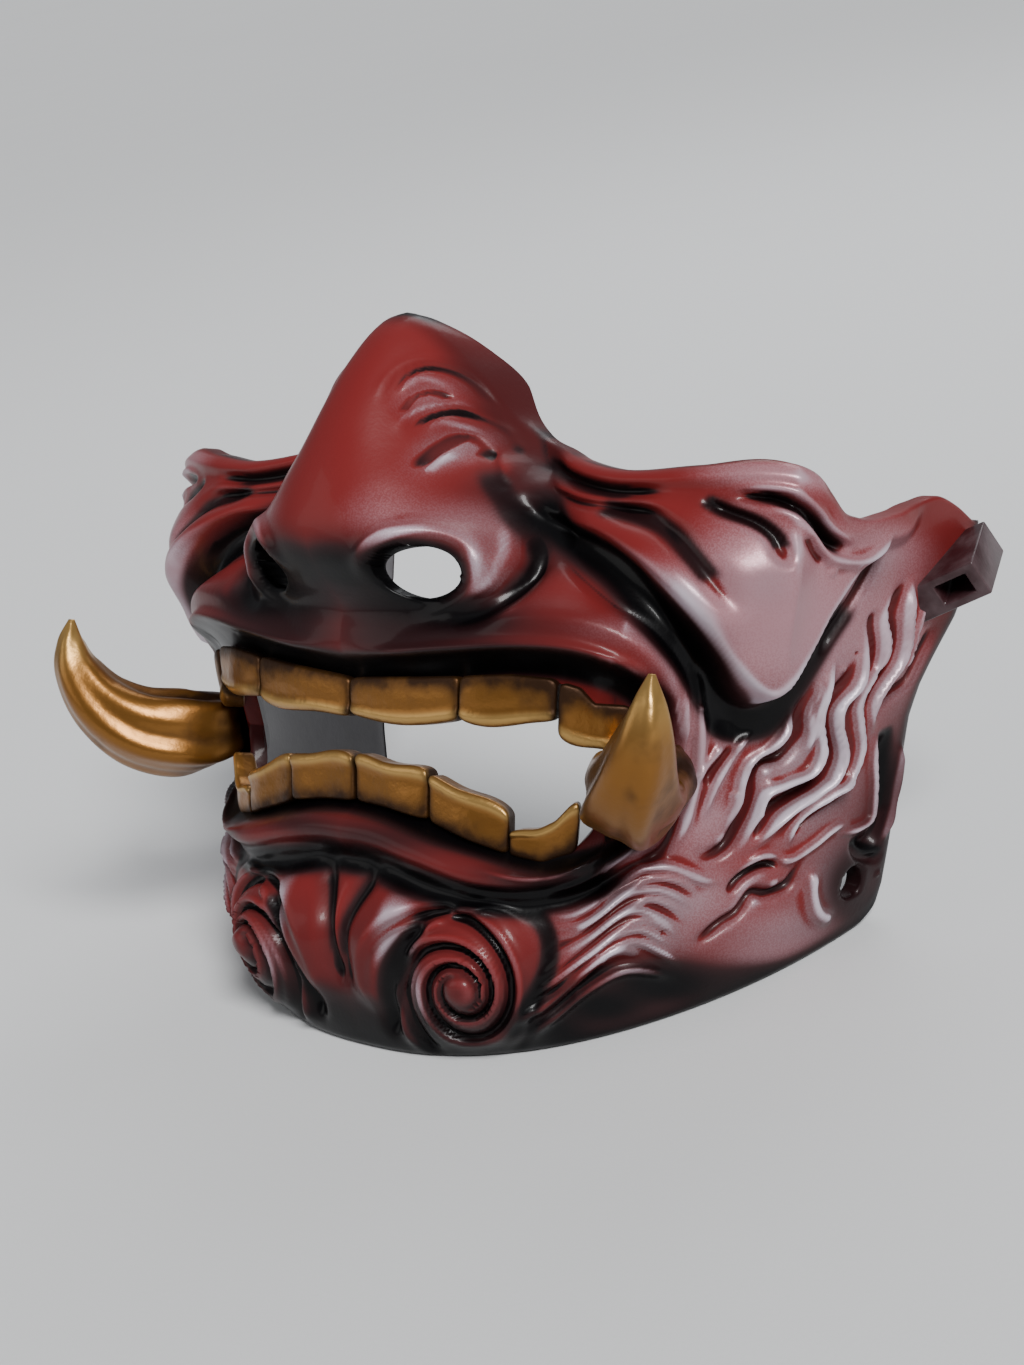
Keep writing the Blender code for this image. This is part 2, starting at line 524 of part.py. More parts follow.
def tooth(name, start, end, bite_start, bite_end, side, upper, parent, material):
    # A rounded block bent along the arch, from the gum line to its biting edge
    bm = bmesh.new()
    bmesh.ops.create_cube(bm, size=2.0)
    bmesh.ops.subdivide_edges(bm, edges=bm.edges[:], cuts=TOOTH_CUTS, use_grid_fill=True)
    cube = np.array([vert.co[:] for vert in bm.verts])
    power = TOOTH_BOXINESS
    cube /= (np.abs(cube)**power).sum(axis=1, keepdims=True)**(1/power)
    gap = SEAT_GAP/UP_SQUARE
    around = (start + end)/2 + cube[:, 0]*((end - start - gap)/2)
    along = (cube[:, 0] + 1)/2
    bite = bite_start + (bite_end - bite_start)*along
    root = linear(around, UPPER_GUM) - gap if upper else linear(around, LOWER_GUM) + gap
    down = (cube[:, 1] + 1)/2
    up = root + (bite - root)*down
    points, outward = base_surface(around, up)
    depth = TOOTH_PROUD*RELIEF - TOOTH_DEPTH*(1 - cube[:, 2])/2*(1 - 0.35*down)
    places = points + outward*depth[:, None]
    places[:, 0] *= side
    for vert, place in zip(bm.verts, places):
        vert.co = place
    new_object(name, bm, parent, material)


def teeth(parent):
    gold = paint("tooth_gold", (0.45, 0.25, 0.06), 0.35, 0.8)
    for side, hand in ((1, "left"), (-1, "right")):
        for name, *sizes in UPPER_TEETH:
            tooth(f"{name}_{hand}", *sizes, side, True, parent, gold)
        for name, *sizes in LOWER_TEETH:
            tooth(f"{name}_{hand}", *sizes, side, False, parent, gold)


def tusk_rings(grow):
    # Ring centres, directions and radii from the root in the mouth's corner to the tip
    point, outward = base_surface(np.array([TUSK_ROOT_AT[0]]), np.array([TUSK_ROOT_AT[1]]))
    root = point[0] - outward[0]*TUSK_SINK
    rows = smooth_route([row for row in TUSK], TUSK_STEPS)
    sizes = np.array([TUSK_REACH, -TUSK_FORWARD, TUSK_RISE])
    centres = root + rows[:, :3]*sizes
    radii = np.clip(rows[:, 3], TUSK[-1][3], None)*TUSK_RADIUS + grow
    runs = np.gradient(centres, axis=0)
    if grow:
        ends = runs[[0, -1]]/np.linalg.norm(runs[[0, -1]], axis=1)[:, None]*grow
        centres[0] -= ends[0]
        centres[-1] += ends[1]
    return centres, runs, radii


def tusk_mesh(side, grow=0.0):
    centres, runs, radii = tusk_rings(grow)
    bm = bmesh.new()
    loops = []
    for centre, run, radius in zip(centres, runs, radii):
        turn = Vector(run).to_track_quat('Z', 'X').to_matrix().to_4x4()
        spot = Matrix.Translation(Vector(centre)) @ turn
        ring = bmesh.ops.create_circle(bm, segments=TUSK_SIDES, radius=radius, matrix=spot, cap_ends=False)
        loops.append(ring["verts"])
    # Each ring starts at the corner nearest to where the last one started
    starts = [0]
    for last, ring in zip(loops, loops[1:]):
        anchor = last[starts[-1]].co
        starts.append(min(range(TUSK_SIDES), key=lambda k: (ring[k].co - anchor).length))
    for last, ring, a, b in zip(loops, loops[1:], starts, starts[1:]):
        for k in range(TUSK_SIDES):
            here, following = k % TUSK_SIDES, (k + 1) % TUSK_SIDES
            bm.faces.new((last[(a + here) % TUSK_SIDES], last[(a + following) % TUSK_SIDES],
                          ring[(b + following) % TUSK_SIDES], ring[(b + here) % TUSK_SIDES]))
    bm.faces.new(loops[0])
    bm.faces.new(loops[-1])
    for vert in bm.verts:
        vert.co.x *= side
    return bm


def tusks(parent):
    ivory = paint("tusk_gold", (0.48, 0.28, 0.07), 0.33, 0.8)
    for side, hand in ((1, "left"), (-1, "right")):
        new_object(f"tusk_{hand}", tusk_mesh(side), parent, ivory)


def lug_frame(side):
    # Corner of the strap lug and the directions of its edges
    corner = face_point(np.array([LUG_AT[0]]), np.array([LUG_AT[1]]))[0]
    turn = (Euler((0, 0, math.radians(LUG_TOE))).to_matrix() @ Euler((0, math.radians(-LUG_TILT), 0)).to_matrix()
            @ Euler((math.radians(LUG_PITCH), 0, 0)).to_matrix())
    return Matrix.Scale(side, 4, (1, 0, 0)) @ Matrix.Translation(Vector(corner)) @ turn.to_4x4()


def block(low, high, frame, inner_x=None, side=1):
    bm = bmesh.new()
    bmesh.ops.create_cube(bm, size=1.0)
    low, high = Vector(low), Vector(high)
    outward = frame.to_3x3() @ Vector((1, 0, 0))
    for vert in bm.verts:
        inner_end = vert.co.x < 0
        share = vert.co + Vector((0.5, 0.5, 0.5))
        vert.co = frame @ Vector([a + (b - a)*s for a, b, s in zip(low, high, share)])
        if inner_end and inner_x is not None:
            vert.co += outward*((side*inner_x - vert.co.x)/outward.x)
    return bm


def join_meshes(parts):
    joined = bmesh.new()
    for bm in parts:
        mesh = bpy.data.meshes.new("joined")
        bm.to_mesh(mesh)
        bm.free()
        joined.from_mesh(mesh)
        bpy.data.meshes.remove(mesh)
    return joined


def lugs(parent):
    # Each lug's inner end is buried half way into the wall
    corner_x = face_point(np.array([LUG_AT[0]]), np.array([LUG_AT[1]]))[0][0]
    parts = [block((0, 0, -LUG_THICK), (LUG_OUT, LUG_LONG, 0), lug_frame(side), corner_x - 0.6*WALL, side)
             for side in (1, -1)]
    return guide(new_object("lug_form", join_meshes(parts), parent))


def slot_form(side):
    middle = 0.5*LUG_OUT
    half = (0.5*SLOT_WIDE, 0.5*SLOT_HIGH)
    low = (middle - half[0], -LUG_LONG, -0.5*LUG_THICK - half[1])
    high = (middle + half[0], 2*LUG_LONG, -0.5*LUG_THICK + half[1])
    return block(low, high, lug_frame(side))


def round_form(at, outward, radius, wide=1.0, turn=0.0):
    # A straight cutter, round or oval, through the wall at a point
    bm = bmesh.new()
    spot = (Matrix.Translation(Vector(at)) @ Vector(outward).to_track_quat('Z', 'Y').to_matrix().to_4x4()
            @ Matrix.Rotation(turn, 4, 'Z') @ Matrix.Diagonal((wide, 1.0, 1.0, 1.0)))
    bmesh.ops.create_cone(bm, cap_ends=True, segments=28, radius1=radius, radius2=radius, depth=CUT_DEPTH,
                          matrix=spot)
    return bm


def holes(parent):
    parts = []
    for side in (1, -1):
        nostril = face_point(np.array([NOSTRIL_AT[0]]), np.array([NOSTRIL_AT[1]]))[0] * (side, 1, 1)
        splay = math.radians(NOSTRIL_SPLAY)
        forward = (side*math.sin(splay), -math.cos(splay), 0)
        parts.append(round_form(nostril, forward, 0.5*NOSTRIL_WIDTH, NOSTRIL_LENGTH/NOSTRIL_WIDTH,
                                side*math.radians(NOSTRIL_TURN)))
        point, outward = base_surface(np.array([STRAP_HOLE_AT[0]]), np.array([STRAP_HOLE_AT[1]]))
        parts.append(round_form(point[0]*(side, 1, 1), outward[0]*(side, 1, 1), 0.5*STRAP_HOLE))
        parts.append(slot_form(side))
        parts.append(tusk_mesh(side, SEAT_GAP))
    return guide(new_object("hole_form", join_meshes(parts), parent))


def combine(thing, tool, operation):
    step = thing.modifiers.new(operation.lower(), 'BOOLEAN')
    step.operation = operation
    step.object = tool
    step.solver = 'EXACT'


def seat_on_floor(stand):
    # The mask leans back onto its lower rim, with the middle of its box over the origin
    stand.rotation_euler = (math.radians(-LEAN), 0, 0)
    bpy.context.view_layer.update()
    graph = bpy.context.evaluated_depsgraph_get()
    low = np.full(3, np.inf)
    high = -low
    for thing in stand.children:
        if not thing.hide_render:
            places = np.array([thing.matrix_world @ vert.co for vert in thing.evaluated_get(graph).data.vertices])
            low = np.minimum(low, places.min(axis=0))
            high = np.maximum(high, places.max(axis=0))
    stand.location = (-0.5*(low[0] + high[0]), -0.5*(low[1] + high[1]), -low[2])


def main():
    clear_scene()
    stand = bpy.data.objects.new("stand", None)
    bpy.context.scene.collection.objects.link(stand)
    mask = shell(stand)
    thinning = mask.modifiers.new("thinning", 'DECIMATE')
    thinning.ratio = SHELL_KEEP
    halves = mask.modifiers.new("halves", 'MIRROR')
    halves.use_bisect_axis[0] = True
    halves.merge_threshold = 0.00005
    combine(mask, lugs(stand), 'UNION')
    combine(mask, holes(stand), 'DIFFERENCE')
    teeth(stand)
    tusks(stand)
    seat_on_floor(stand)


main()
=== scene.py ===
# Oni half mask at rest on a pale floor: lacquered face, gold teeth and tusks, strap lugs
import math

import bmesh
import bpy
import numpy as np
from mathutils import Matrix, Vector


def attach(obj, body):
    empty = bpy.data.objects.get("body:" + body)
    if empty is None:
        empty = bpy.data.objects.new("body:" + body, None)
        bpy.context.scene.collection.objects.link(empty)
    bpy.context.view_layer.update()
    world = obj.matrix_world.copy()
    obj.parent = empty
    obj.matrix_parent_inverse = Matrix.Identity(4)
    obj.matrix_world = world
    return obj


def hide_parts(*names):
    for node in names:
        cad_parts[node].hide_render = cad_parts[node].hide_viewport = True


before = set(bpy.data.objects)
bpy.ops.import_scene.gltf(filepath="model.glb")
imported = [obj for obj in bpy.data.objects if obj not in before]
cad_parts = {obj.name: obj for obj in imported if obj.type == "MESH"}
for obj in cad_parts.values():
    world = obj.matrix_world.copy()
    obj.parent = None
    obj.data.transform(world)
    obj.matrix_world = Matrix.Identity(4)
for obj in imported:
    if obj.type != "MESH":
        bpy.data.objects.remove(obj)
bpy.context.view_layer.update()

# Chart of the face: squares around from the nose line, 0 to 15, and squares of 10 mm up from the bite line
face = {
    "cheekHalfWidth": 0.0920,
    "hollowDepth": 0.1020,
    "squareUp": 0.0100,
    "squaresAround": 15,
    "chinDrop": 0.0740,
    "wall": 0.0038,
    "relief": 0.0100,
    "lean": 23.2,               # degrees that the mask leans back on its rim
    "seat": (0.0, -0.04343, 0.07403),
    "mouthColumns": 90,
    "sideColumns": 110,
    "lowerRows": 84,
    "upperRows": 148,
    "edgeRound": 0.0013,        # how far the rim's rounding reaches in
    "mouthCorner": (6.20, -1.05),
    "lipCorner": (7.2, 8.0),    # where the lips' tuck fades out, around
    "tuckDepth": 0.32,
    "tuckAbove": 0.50,
    "tuckBelow": 0.30,
    "backAround": 13.8,
    "heelFrom": 13.2,
}

# up, half width, front, squareness
sections = (
    (-8.0, 0.650, -0.130, 2.4), (-6.5, 0.740, -0.065, 2.5), (-5.0, 0.815, -0.035, 2.6),
    (-3.0, 0.860, -0.045, 2.6), (-1.2, 0.890, -0.045, 2.7), (0.5, 0.915, -0.010, 2.9),
    (1.4, 0.935, -0.010, 3.1), (3.0, 0.975, -0.110, 3.7), (4.4, 1.000, -0.220, 4.6),
    (5.6, 1.010, -0.270, 5.0), (8.6, 0.960, -0.320, 4.4),
)
# up, front, half width
nose = (
    (0.8, 0.010, 0.95), (1.5, 0.010, 1.60), (2.0, 0.020, 2.60), (2.5, 0.070, 3.60), (3.0, 0.118, 4.20),
    (3.6, 0.138, 4.35), (4.5, 0.128, 3.80), (5.4, 0.100, 3.00), (6.3, 0.062, 2.45), (7.2, 0.009, 2.05),
    (8.0, -0.063, 1.75), (8.6, -0.150, 1.50),
)
topEdge = ((0.0, 8.35), (0.5, 8.22), (0.9, 7.95), (1.3, 7.50), (1.7, 6.98), (2.1, 6.35), (2.6, 5.90),
           (3.4, 5.58), (4.3, 5.32), (5.5, 5.14), (7.0, 5.28), (8.4, 5.42), (9.0, 5.18), (9.6, 4.55),
           (10.1, 4.42), (11.2, 4.57), (12.2, 4.85), (13.0, 5.03), (13.6, 4.92), (14.4, 4.60))
upperGum = ((0.0, 0.42), (2.0, 0.58), (3.0, 0.68), (4.0, 0.78), (4.9, 0.76), (5.5, 0.60), (5.85, 0.25),
            (6.1, -0.35), (6.2, -1.05))
lowerGum = ((0.0, -2.10), (1.0, -2.15), (2.0, -2.28), (3.0, -2.55), (4.0, -2.80), (4.9, -2.92), (5.5, -2.72),
            (5.85, -2.30), (6.1, -1.70), (6.2, -1.05))
# the lips' own line, which bends round further out than the opening
upperLip = ((0.0, 0.42), (2.0, 0.58), (3.0, 0.68), (4.0, 0.78), (5.0, 0.76), (6.0, 0.66), (6.8, 0.45),
            (7.3, 0.0), (7.5, -0.70))
lowerLip = ((0.0, -2.10), (1.0, -2.15), (2.0, -2.28), (3.0, -2.55), (4.0, -2.80), (5.0, -2.92), (6.0, -2.65),
            (6.8, -2.20), (7.3, -1.55), (7.5, -0.70))
# up, around
backEdge = ((-4.2, 13.75), (-3.4, 13.90), (-1.5, 13.80), (0.3, 13.80), (1.0, 13.95), (1.6, 14.20),
            (2.5, 14.60), (3.6, 14.80), (5.0, 14.70))
cheekEdge = ((2.6, 5.6), (3.5, 4.35), (4.3, 3.95), (5.2, 3.75), (6.0, 3.35), (6.6, 2.85), (7.2, 2.2),
             (7.8, 1.5), (8.4, 0.85), (8.9, 0.6), (9.3, 0.95), (9.7, 1.7), (10.1, 2.6), (10.6, 3.4),
             (11.3, 3.9), (12.0, 4.2), (12.6, 5.2))
cheekRise = ((0.0, 0.0), (0.12, 0.35), (0.35, 0.80), (0.60, 1.15), (0.72, 0.65), (0.85, 0.35), (1.0, 0.0))
cheekFade = ((0.0, 1.0), (1.0, 1.0), (3.0, 0.75), (5.0, 0.6))

# rise, half width, softness, route (around, up); these shape both faces of the wall
folds = (
    (-0.30, 0.42, 0.12, ((3.0, 4.7), (3.7, 4.0), (4.6, 3.5), (5.6, 3.0), (6.6, 2.35), (7.4, 1.55),
                         (8.0, 0.75), (8.6, 0.2), (9.3, 0.3))),
    (0.34, 0.75, 0.30, ((-2.0, 1.1), (1.2, 1.2), (3.0, 1.6), (4.5, 1.85), (5.8, 1.6), (7.0, 1.0), (7.7, 0.0),
                        (7.9, -1.0))),
    (0.48, 0.52, 0.22, ((-3.0, -2.9), (0.5, -2.75), (2.0, -3.0), (3.6, -3.3), (5.0, -3.2), (6.2, -2.75),
                        (7.2, -2.1), (7.8, -1.2))),
    (-0.22, 0.30, 0.18, ((-2.0, -3.6), (0.5, -3.4), (2.0, -3.65), (3.6, -3.9), (5.0, -3.8), (6.2, -3.3),
                         (7.2, -2.7), (7.9, -2.0))),
    (-0.22, 0.80, 0.30, ((4.6, -6.2), (5.8, -5.9), (6.8, -5.5), (8.0, -5.4), (9.0, -5.2))),
)
# around, up, half size around, half size up, rise
swellings = (
    (0.0, -5.0, 2.4, 1.0, 0.42),        # chin
    (3.6, -5.9, 1.7, 1.5, 0.45),        # under the spiral
    (8.0, 3.2, 1.0, 0.9, 0.35),         # cheekbone
    (11.3, 0.2, 2.6, 3.2, 0.14),        # under the flames
    (3.15, 3.05, 0.50, 0.80, 0.20),     # wing of the nose
    (12.25, -3.1, 0.95, 0.95, 0.10),    # pad of the strap hole
    (6.4, 4.25, 0.9, 0.35, 0.12),
    (4.5, 2.35, 1.6, 0.5, 0.10),
)
# rise, half width, route (around, up); cut in the outer face only
noseStrokes = (
    (-0.20, 0.12, ((0.85, 6.2), (0.92, 6.95), (1.2, 7.12), (1.6, 6.85), (2.0, 6.25), (2.4, 5.7))),
    (-0.20, 0.12, ((1.4, 5.6), (1.42, 6.0), (1.65, 6.2), (2.0, 6.05), (2.4, 5.6), (2.8, 5.15))),
    (-0.20, 0.13, ((1.8, 4.8), (1.78, 5.3), (1.95, 5.7), (2.2, 5.5), (2.5, 5.15))),
    (-0.14, 0.08, ((1.15, 6.0), (1.15, 6.45), (1.35, 6.6), (1.6, 6.4))),
    (-0.12, 0.09, ((2.1, 5.2), (2.3, 5.35), (2.6, 5.0), (3.0, 4.5))),
    (0.14, 0.12, ((0.95, 6.4), (1.1, 6.88), (1.4, 6.82), (1.8, 6.4), (2.2, 5.95))),
    (0.14, 0.10, ((0.80, 6.2), (0.80, 6.85), (1.0, 7.28), (1.4, 7.2), (1.8, 6.75), (2.15, 6.25))),
    (0.14, 0.12, ((1.55, 5.6), (1.6, 5.95), (1.75, 6.0), (2.1, 5.8), (2.5, 5.35), (3.0, 4.7))),
    (0.12, 0.09, ((1.28, 5.6), (1.3, 6.05), (1.6, 6.38), (1.95, 6.25), (2.35, 5.8))),
    (0.10, 0.10, ((1.95, 4.85), (1.98, 5.2), (2.1, 5.3))),
    (0.24, 0.20, ((0.9, 2.45), (1.25, 3.0), (1.8, 3.5), (2.5, 3.7), (3.1, 3.5), (3.3, 3.0), (3.1, 2.45),
                  (2.5, 2.1), (1.7, 1.95))),
    (-0.26, 0.20, ((2.7, 4.9), (3.15, 4.25), (3.65, 3.7), (3.95, 3.15), (3.85, 2.5), (3.4, 2.05),
                   (2.6, 1.8))),
    (0.12, 0.10, ((2.9, 4.4), (3.3, 3.9), (3.55, 3.3), (3.45, 2.7), (3.1, 2.3))),
)
browStrokes = (
    (0.22, 0.22, ((2.8, 5.62), (4.0, 5.2), (5.5, 4.95), (7.0, 5.05), (8.1, 5.15), (8.7, 5.05), (9.1, 4.7),
                  (9.6, 4.25), (10.1, 4.15), (10.8, 4.3))),
    (-0.22, 0.14, ((2.9, 5.35), (3.6, 5.1), (4.4, 4.85), (5.2, 4.7), (5.9, 4.7), (6.6, 4.75))),
    (-0.14, 0.10, ((3.4, 4.75), (4.4, 4.45), (5.4, 4.35), (6.2, 4.3), (6.7, 4.1))),
    (0.10, 0.12, ((3.2, 4.9), (4.2, 4.62), (5.2, 4.52), (6.2, 4.5), (6.9, 4.35))),
    (-0.30, 0.13, ((7.1, 4.65), (7.5, 4.4), (8.0, 4.2), (8.3, 3.95), (8.45, 3.6), (8.6, 3.25))),
    (-0.30, 0.12, ((7.6, 4.7), (8.1, 4.7), (8.45, 4.62), (8.85, 4.3), (9.3, 3.95), (9.9, 3.7))),
    (0.20, 0.11, ((7.5, 4.8), (8.0, 4.86), (8.5, 4.82), (8.95, 4.5), (9.4, 4.1), (10.1, 3.85))),
    (0.22, 0.12, ((8.0, 4.45), (8.5, 4.42), (8.9, 4.05), (9.3, 3.65), (9.7, 3.52), (10.3, 3.55), (10.8, 3.8),
                  (11.3, 4.2))),
    (-0.14, 0.08, ((8.75, 4.0), (9.0, 3.7), (9.35, 3.45))),
    (-0.26, 0.22, ((5.0, 4.4), (6.0, 4.2), (6.6, 3.95), (7.1, 3.45), (7.5, 2.9), (8.0, 2.2))),
    (0.20, 0.35, ((4.0, 4.35), (5.0, 4.1), (6.0, 3.7), (6.8, 3.05), (7.5, 2.35), (8.2, 1.5))),
    (-0.20, 0.16, ((11.3, 4.2), (11.15, 3.6), (10.95, 3.0), (10.6, 2.2), (10.2, 1.4))),
    (-0.10, 0.08, ((3.9, 3.6), (4.5, 3.15), (5.3, 2.7), (6.0, 2.3), (6.8, 1.85), (7.4, 1.25), (7.8, 0.5))),
)
flameStrokes = (
    (-0.30, 0.15, ((12.4, 3.3), (12.2, 2.8), (12.15, 2.4), (12.4, 1.9), (12.4, 1.5), (12.1, 1.0), (11.9, 0.6),
                   (11.8, 0.2))),
    (-0.24, 0.11, ((11.5, 2.6), (11.65, 2.2), (11.85, 1.7), (11.9, 1.1))),
    (-0.32, 0.16, ((11.25, 1.6), (11.3, 1.2), (11.05, 0.75), (10.85, 0.35), (10.95, -0.1), (11.15, -0.6),
                   (10.85, -1.1), (10.3, -1.4), (9.8, -1.7), (9.5, -2.1), (9.1, -2.5))),
    (-0.32, 0.16, ((10.4, 0.95), (10.2, 0.4), (10.2, -0.1), (9.9, -0.55), (9.4, -0.7), (9.2, -1.1),
                   (9.15, -1.7), (8.9, -2.4), (8.4, -2.7), (8.05, -2.4))),
    (-0.22, 0.13, ((13.75, 2.4), (13.55, 1.7), (13.3, 1.1), (12.9, 0.85), (12.4, 0.6), (12.1, 0.2))),
    (-0.34, 0.24, ((12.75, 0.1), (12.9, -0.5), (13.1, -1.2), (13.2, -1.9), (13.1, -2.4), (12.6, -2.45),
                   (12.2, -2.3))),
    (-0.20, 0.11, ((11.7, -1.3), (11.2, -1.5), (10.7, -1.85), (10.4, -2.3))),
    (-0.24, 0.13, ((11.0, -2.7), (10.8, -3.0), (10.6, -3.35), (10.1, -3.5), (9.7, -3.5), (9.4, -3.9),
                   (9.0, -4.15), (8.3, -4.7))),
    (-0.26, 0.12, ((10.4, -2.8), (9.8, -2.9), (9.3, -3.2), (9.0, -3.6))),
    (-0.16, 0.10, ((8.75, -0.35), (8.4, -0.8), (8.1, -1.2))),
    (-0.16, 0.12, ((7.5, -1.6), (7.55, -2.1), (7.35, -2.6), (6.9, -2.9))),
    (-0.18, 0.12, ((12.2, -2.3), (12.6, -2.75), (13.1, -2.85), (13.6, -2.8))),
    (0.30, 0.13, ((12.5, 3.4), (12.55, 2.6), (12.75, 1.9), (12.7, 1.45), (12.4, 1.05), (12.2, 0.7),
                  (12.15, 0.3), (12.4, -0.2))),
    (0.28, 0.12, ((11.9, 3.1), (11.95, 2.5), (12.1, 1.6), (11.75, 1.0), (11.6, 0.6), (11.75, 0.1),
                  (11.9, -0.4), (11.7, -1.0), (11.2, -1.4), (10.6, -1.8), (10.35, -2.4))),
    (0.28, 0.12, ((11.45, 2.3), (11.6, 1.4), (11.45, 0.9), (11.15, 0.5), (11.15, 0.1), (11.42, -0.5),
                  (11.3, -1.0), (10.9, -1.3), (10.2, -1.75), (9.7, -2.25), (9.2, -2.75))),
    (0.30, 0.12, ((10.75, 1.8), (10.7, 1.1), (10.6, 0.5), (10.65, 0.1), (10.8, -0.4), (10.6, -0.9),
                  (10.0, -1.15), (9.5, -1.4), (9.4, -2.0), (9.1, -2.7))),
    (0.25, 0.12, ((9.9, 0.5), (9.85, 0.0), (9.5, -0.45), (9.05, -0.8), (8.95, -1.5), (8.7, -2.2))),
    (0.15, 0.08, ((10.5, 1.3), (10.45, 0.8), (10.35, 0.4), (10.5, -0.1), (10.45, -0.6))),
    (0.15, 0.08, ((9.2, 0.0), (8.8, -0.4), (8.5, -0.9), (8.3, -1.4), (8.15, -2.0))),
    (0.15, 0.08, ((8.5, -0.3), (8.1, -0.8), (7.8, -1.2))),
    (0.18, 0.09, ((11.9, -1.0), (11.3, -1.35), (10.7, -1.75), (10.4, -2.1), (10.35, -2.6))),
    (0.18, 0.09, ((12.2, -2.0), (11.6, -2.1), (11.0, -2.5), (10.4, -2.8), (9.7, -2.7), (9.1, -3.1))),
    (0.22, 0.10, ((13.45, -0.2), (13.5, -1.0), (13.55, -1.8), (13.4, -2.6))),
    (0.18, 0.10, ((12.55, 0.1), (12.5, -0.6), (12.7, -1.3), (12.75, -1.9), (12.3, -2.15), (11.5, -2.25))),
    (0.15, 0.09, ((13.2, 2.9), (13.1, 2.2), (13.1, 1.6), (12.8, 1.15))),
    (0.20, 0.14, ((7.6, 1.6), (7.85, 0.7), (7.95, -0.4), (7.9, -1.3), (7.75, -2.1), (7.5, -2.7))),
    (0.12, 0.08, ((7.45, 1.1), (7.6, 0.3), (7.65, -0.6), (7.55, -1.3), (7.2, -1.9), (6.6, -2.45))),
    (0.22, 0.16, ((11.2, -2.9), (11.25, -3.5), (11.6, -4.0), (12.2, -4.15))),
)
beardStrokes = (
    (0.25, 0.11, ((4.9, -4.0), (5.5, -4.05), (6.0, -3.8), (6.5, -3.35), (7.0, -3.0), (7.6, -2.95),
                  (8.4, -3.2), (9.0, -3.2))),
    (0.22, 0.09, ((5.1, -4.3), (5.6, -4.25), (6.1, -4.0), (6.6, -3.5), (7.1, -3.2), (7.7, -3.2),
                  (8.4, -3.5))),
    (0.25, 0.10, ((5.2, -4.55), (5.7, -4.4), (6.2, -3.95), (6.7, -3.55), (7.2, -3.4), (7.7, -3.5),
                  (8.3, -3.85))),
    (0.20, 0.09, ((5.1, -5.1), (5.7, -4.65), (6.2, -4.25), (6.7, -3.82), (7.2, -3.62), (7.7, -3.75),
                  (8.2, -4.1))),
    (0.25, 0.10, ((4.9, -5.6), (5.4, -5.1), (6.0, -4.55), (6.5, -4.05), (7.0, -3.85), (7.5, -4.0),
                  (8.2, -4.35))),
    (0.20, 0.09, ((5.0, -5.75), (5.6, -5.2), (6.1, -4.75), (6.6, -4.25), (7.1, -4.05), (7.7, -4.25),
                  (8.3, -4.6))),
    (0.25, 0.11, ((4.8, -5.95), (5.4, -5.4), (6.0, -4.85), (6.6, -4.4), (7.1, -4.25), (7.6, -4.45),
                  (8.2, -4.75))),
    (0.25, 0.13, ((4.4, -6.5), (5.2, -6.0), (5.8, -5.45), (6.3, -4.95), (6.8, -4.7), (7.4, -4.85))),
    (0.24, 0.12, ((4.7, -6.8), (5.5, -6.2), (6.2, -5.6), (6.9, -5.2), (7.6, -5.2), (8.3, -5.4))),
    (0.20, 0.10, ((5.3, -5.65), (5.9, -5.2), (6.5, -4.7), (7.0, -4.5), (7.6, -4.7), (8.4, -5.1))),
    (-0.30, 0.26, ((0.95, -3.4), (0.55, -4.0), (0.25, -4.8), (0.15, -5.7), (0.1, -6.4))),
    (0.26, 0.50, ((1.85, -3.7), (1.55, -4.4), (1.25, -5.1), (1.0, -5.8), (0.7, -6.7))),
    (-0.34, 0.26, ((2.6, -4.2), (2.1, -5.0), (1.7, -5.8), (1.4, -6.6), (1.3, -7.3))),
    (0.14, 0.09, ((1.35, -6.9), (1.6, -6.2), (2.0, -5.5), (2.3, -4.9), (2.8, -4.35), (3.5, -4.05),
                  (4.2, -4.05), (4.85, -4.35))),
    (0.16, 0.13, ((0.0, 0.98), (1.5, 1.12), (3.0, 1.32), (4.5, 1.50), (5.5, 1.46), (6.4, 1.12), (7.05, 0.5),
                  (7.35, -0.2))),
    (0.14, 0.26, ((2.8, 1.85), (4.4, 2.15), (5.8, 2.0), (6.8, 1.45), (7.4, 0.7), (7.6, -0.2))),
    (0.10, 0.07, ((3.5, -3.15), (4.5, -3.3), (5.2, -3.2), (5.8, -2.9), (6.3, -2.5), (6.8, -2.0))),
    (0.10, 0.07, ((5.0, -3.6), (5.8, -3.3), (6.4, -2.8), (7.0, -2.2))),
    (-0.12, 0.10, ((0.0, -3.05), (2.0, -3.3), (3.6, -3.62), (5.0, -3.52), (6.1, -3.05))),
)
spiral = {
    "at": (3.55, -5.75),
    "heart": 0.36,
    "edge": 2.20,
    "arms": 2,
    "wind": 11.5,
    "drift": (0.26, 0.10),      # how far the rings' middles move away with their size
    "rise": 0.26,
}

# Casting bubbles and pits: around, up, radius, rise
bubbles = (
    (9.62, 3.30, 0.11, 0.07), (10.2, 3.4, 0.07, 0.06), (8.9, 4.3, 0.07, -0.06), (11.1, 1.3, 0.08, 0.06),
    (11.4, 1.65, 0.05, -0.07), (8.8, -1.4, 0.08, 0.07), (8.7, -2.35, 0.13, 0.05), (9.6, -1.1, 0.06, 0.06),
    (9.5, -1.8, 0.07, 0.06), (7.9, 0.4, 0.06, 0.05), (6.4, -4.95, 0.06, 0.05), (13.5, -3.2, 0.08, 0.06),
    (10.2, -3.3, 0.12, 0.07), (7.6, -4.3, 0.07, -0.05), (10.7, 0.6, 0.05, 0.05), (5.9, -5.7, 0.05, 0.05),
    (11.95, -1.1, 0.05, -0.05), (3.3, 4.2, 0.05, 0.05), (12.0, 2.6, 0.06, -0.06), (13.1, 1.7, 0.05, -0.06),
)

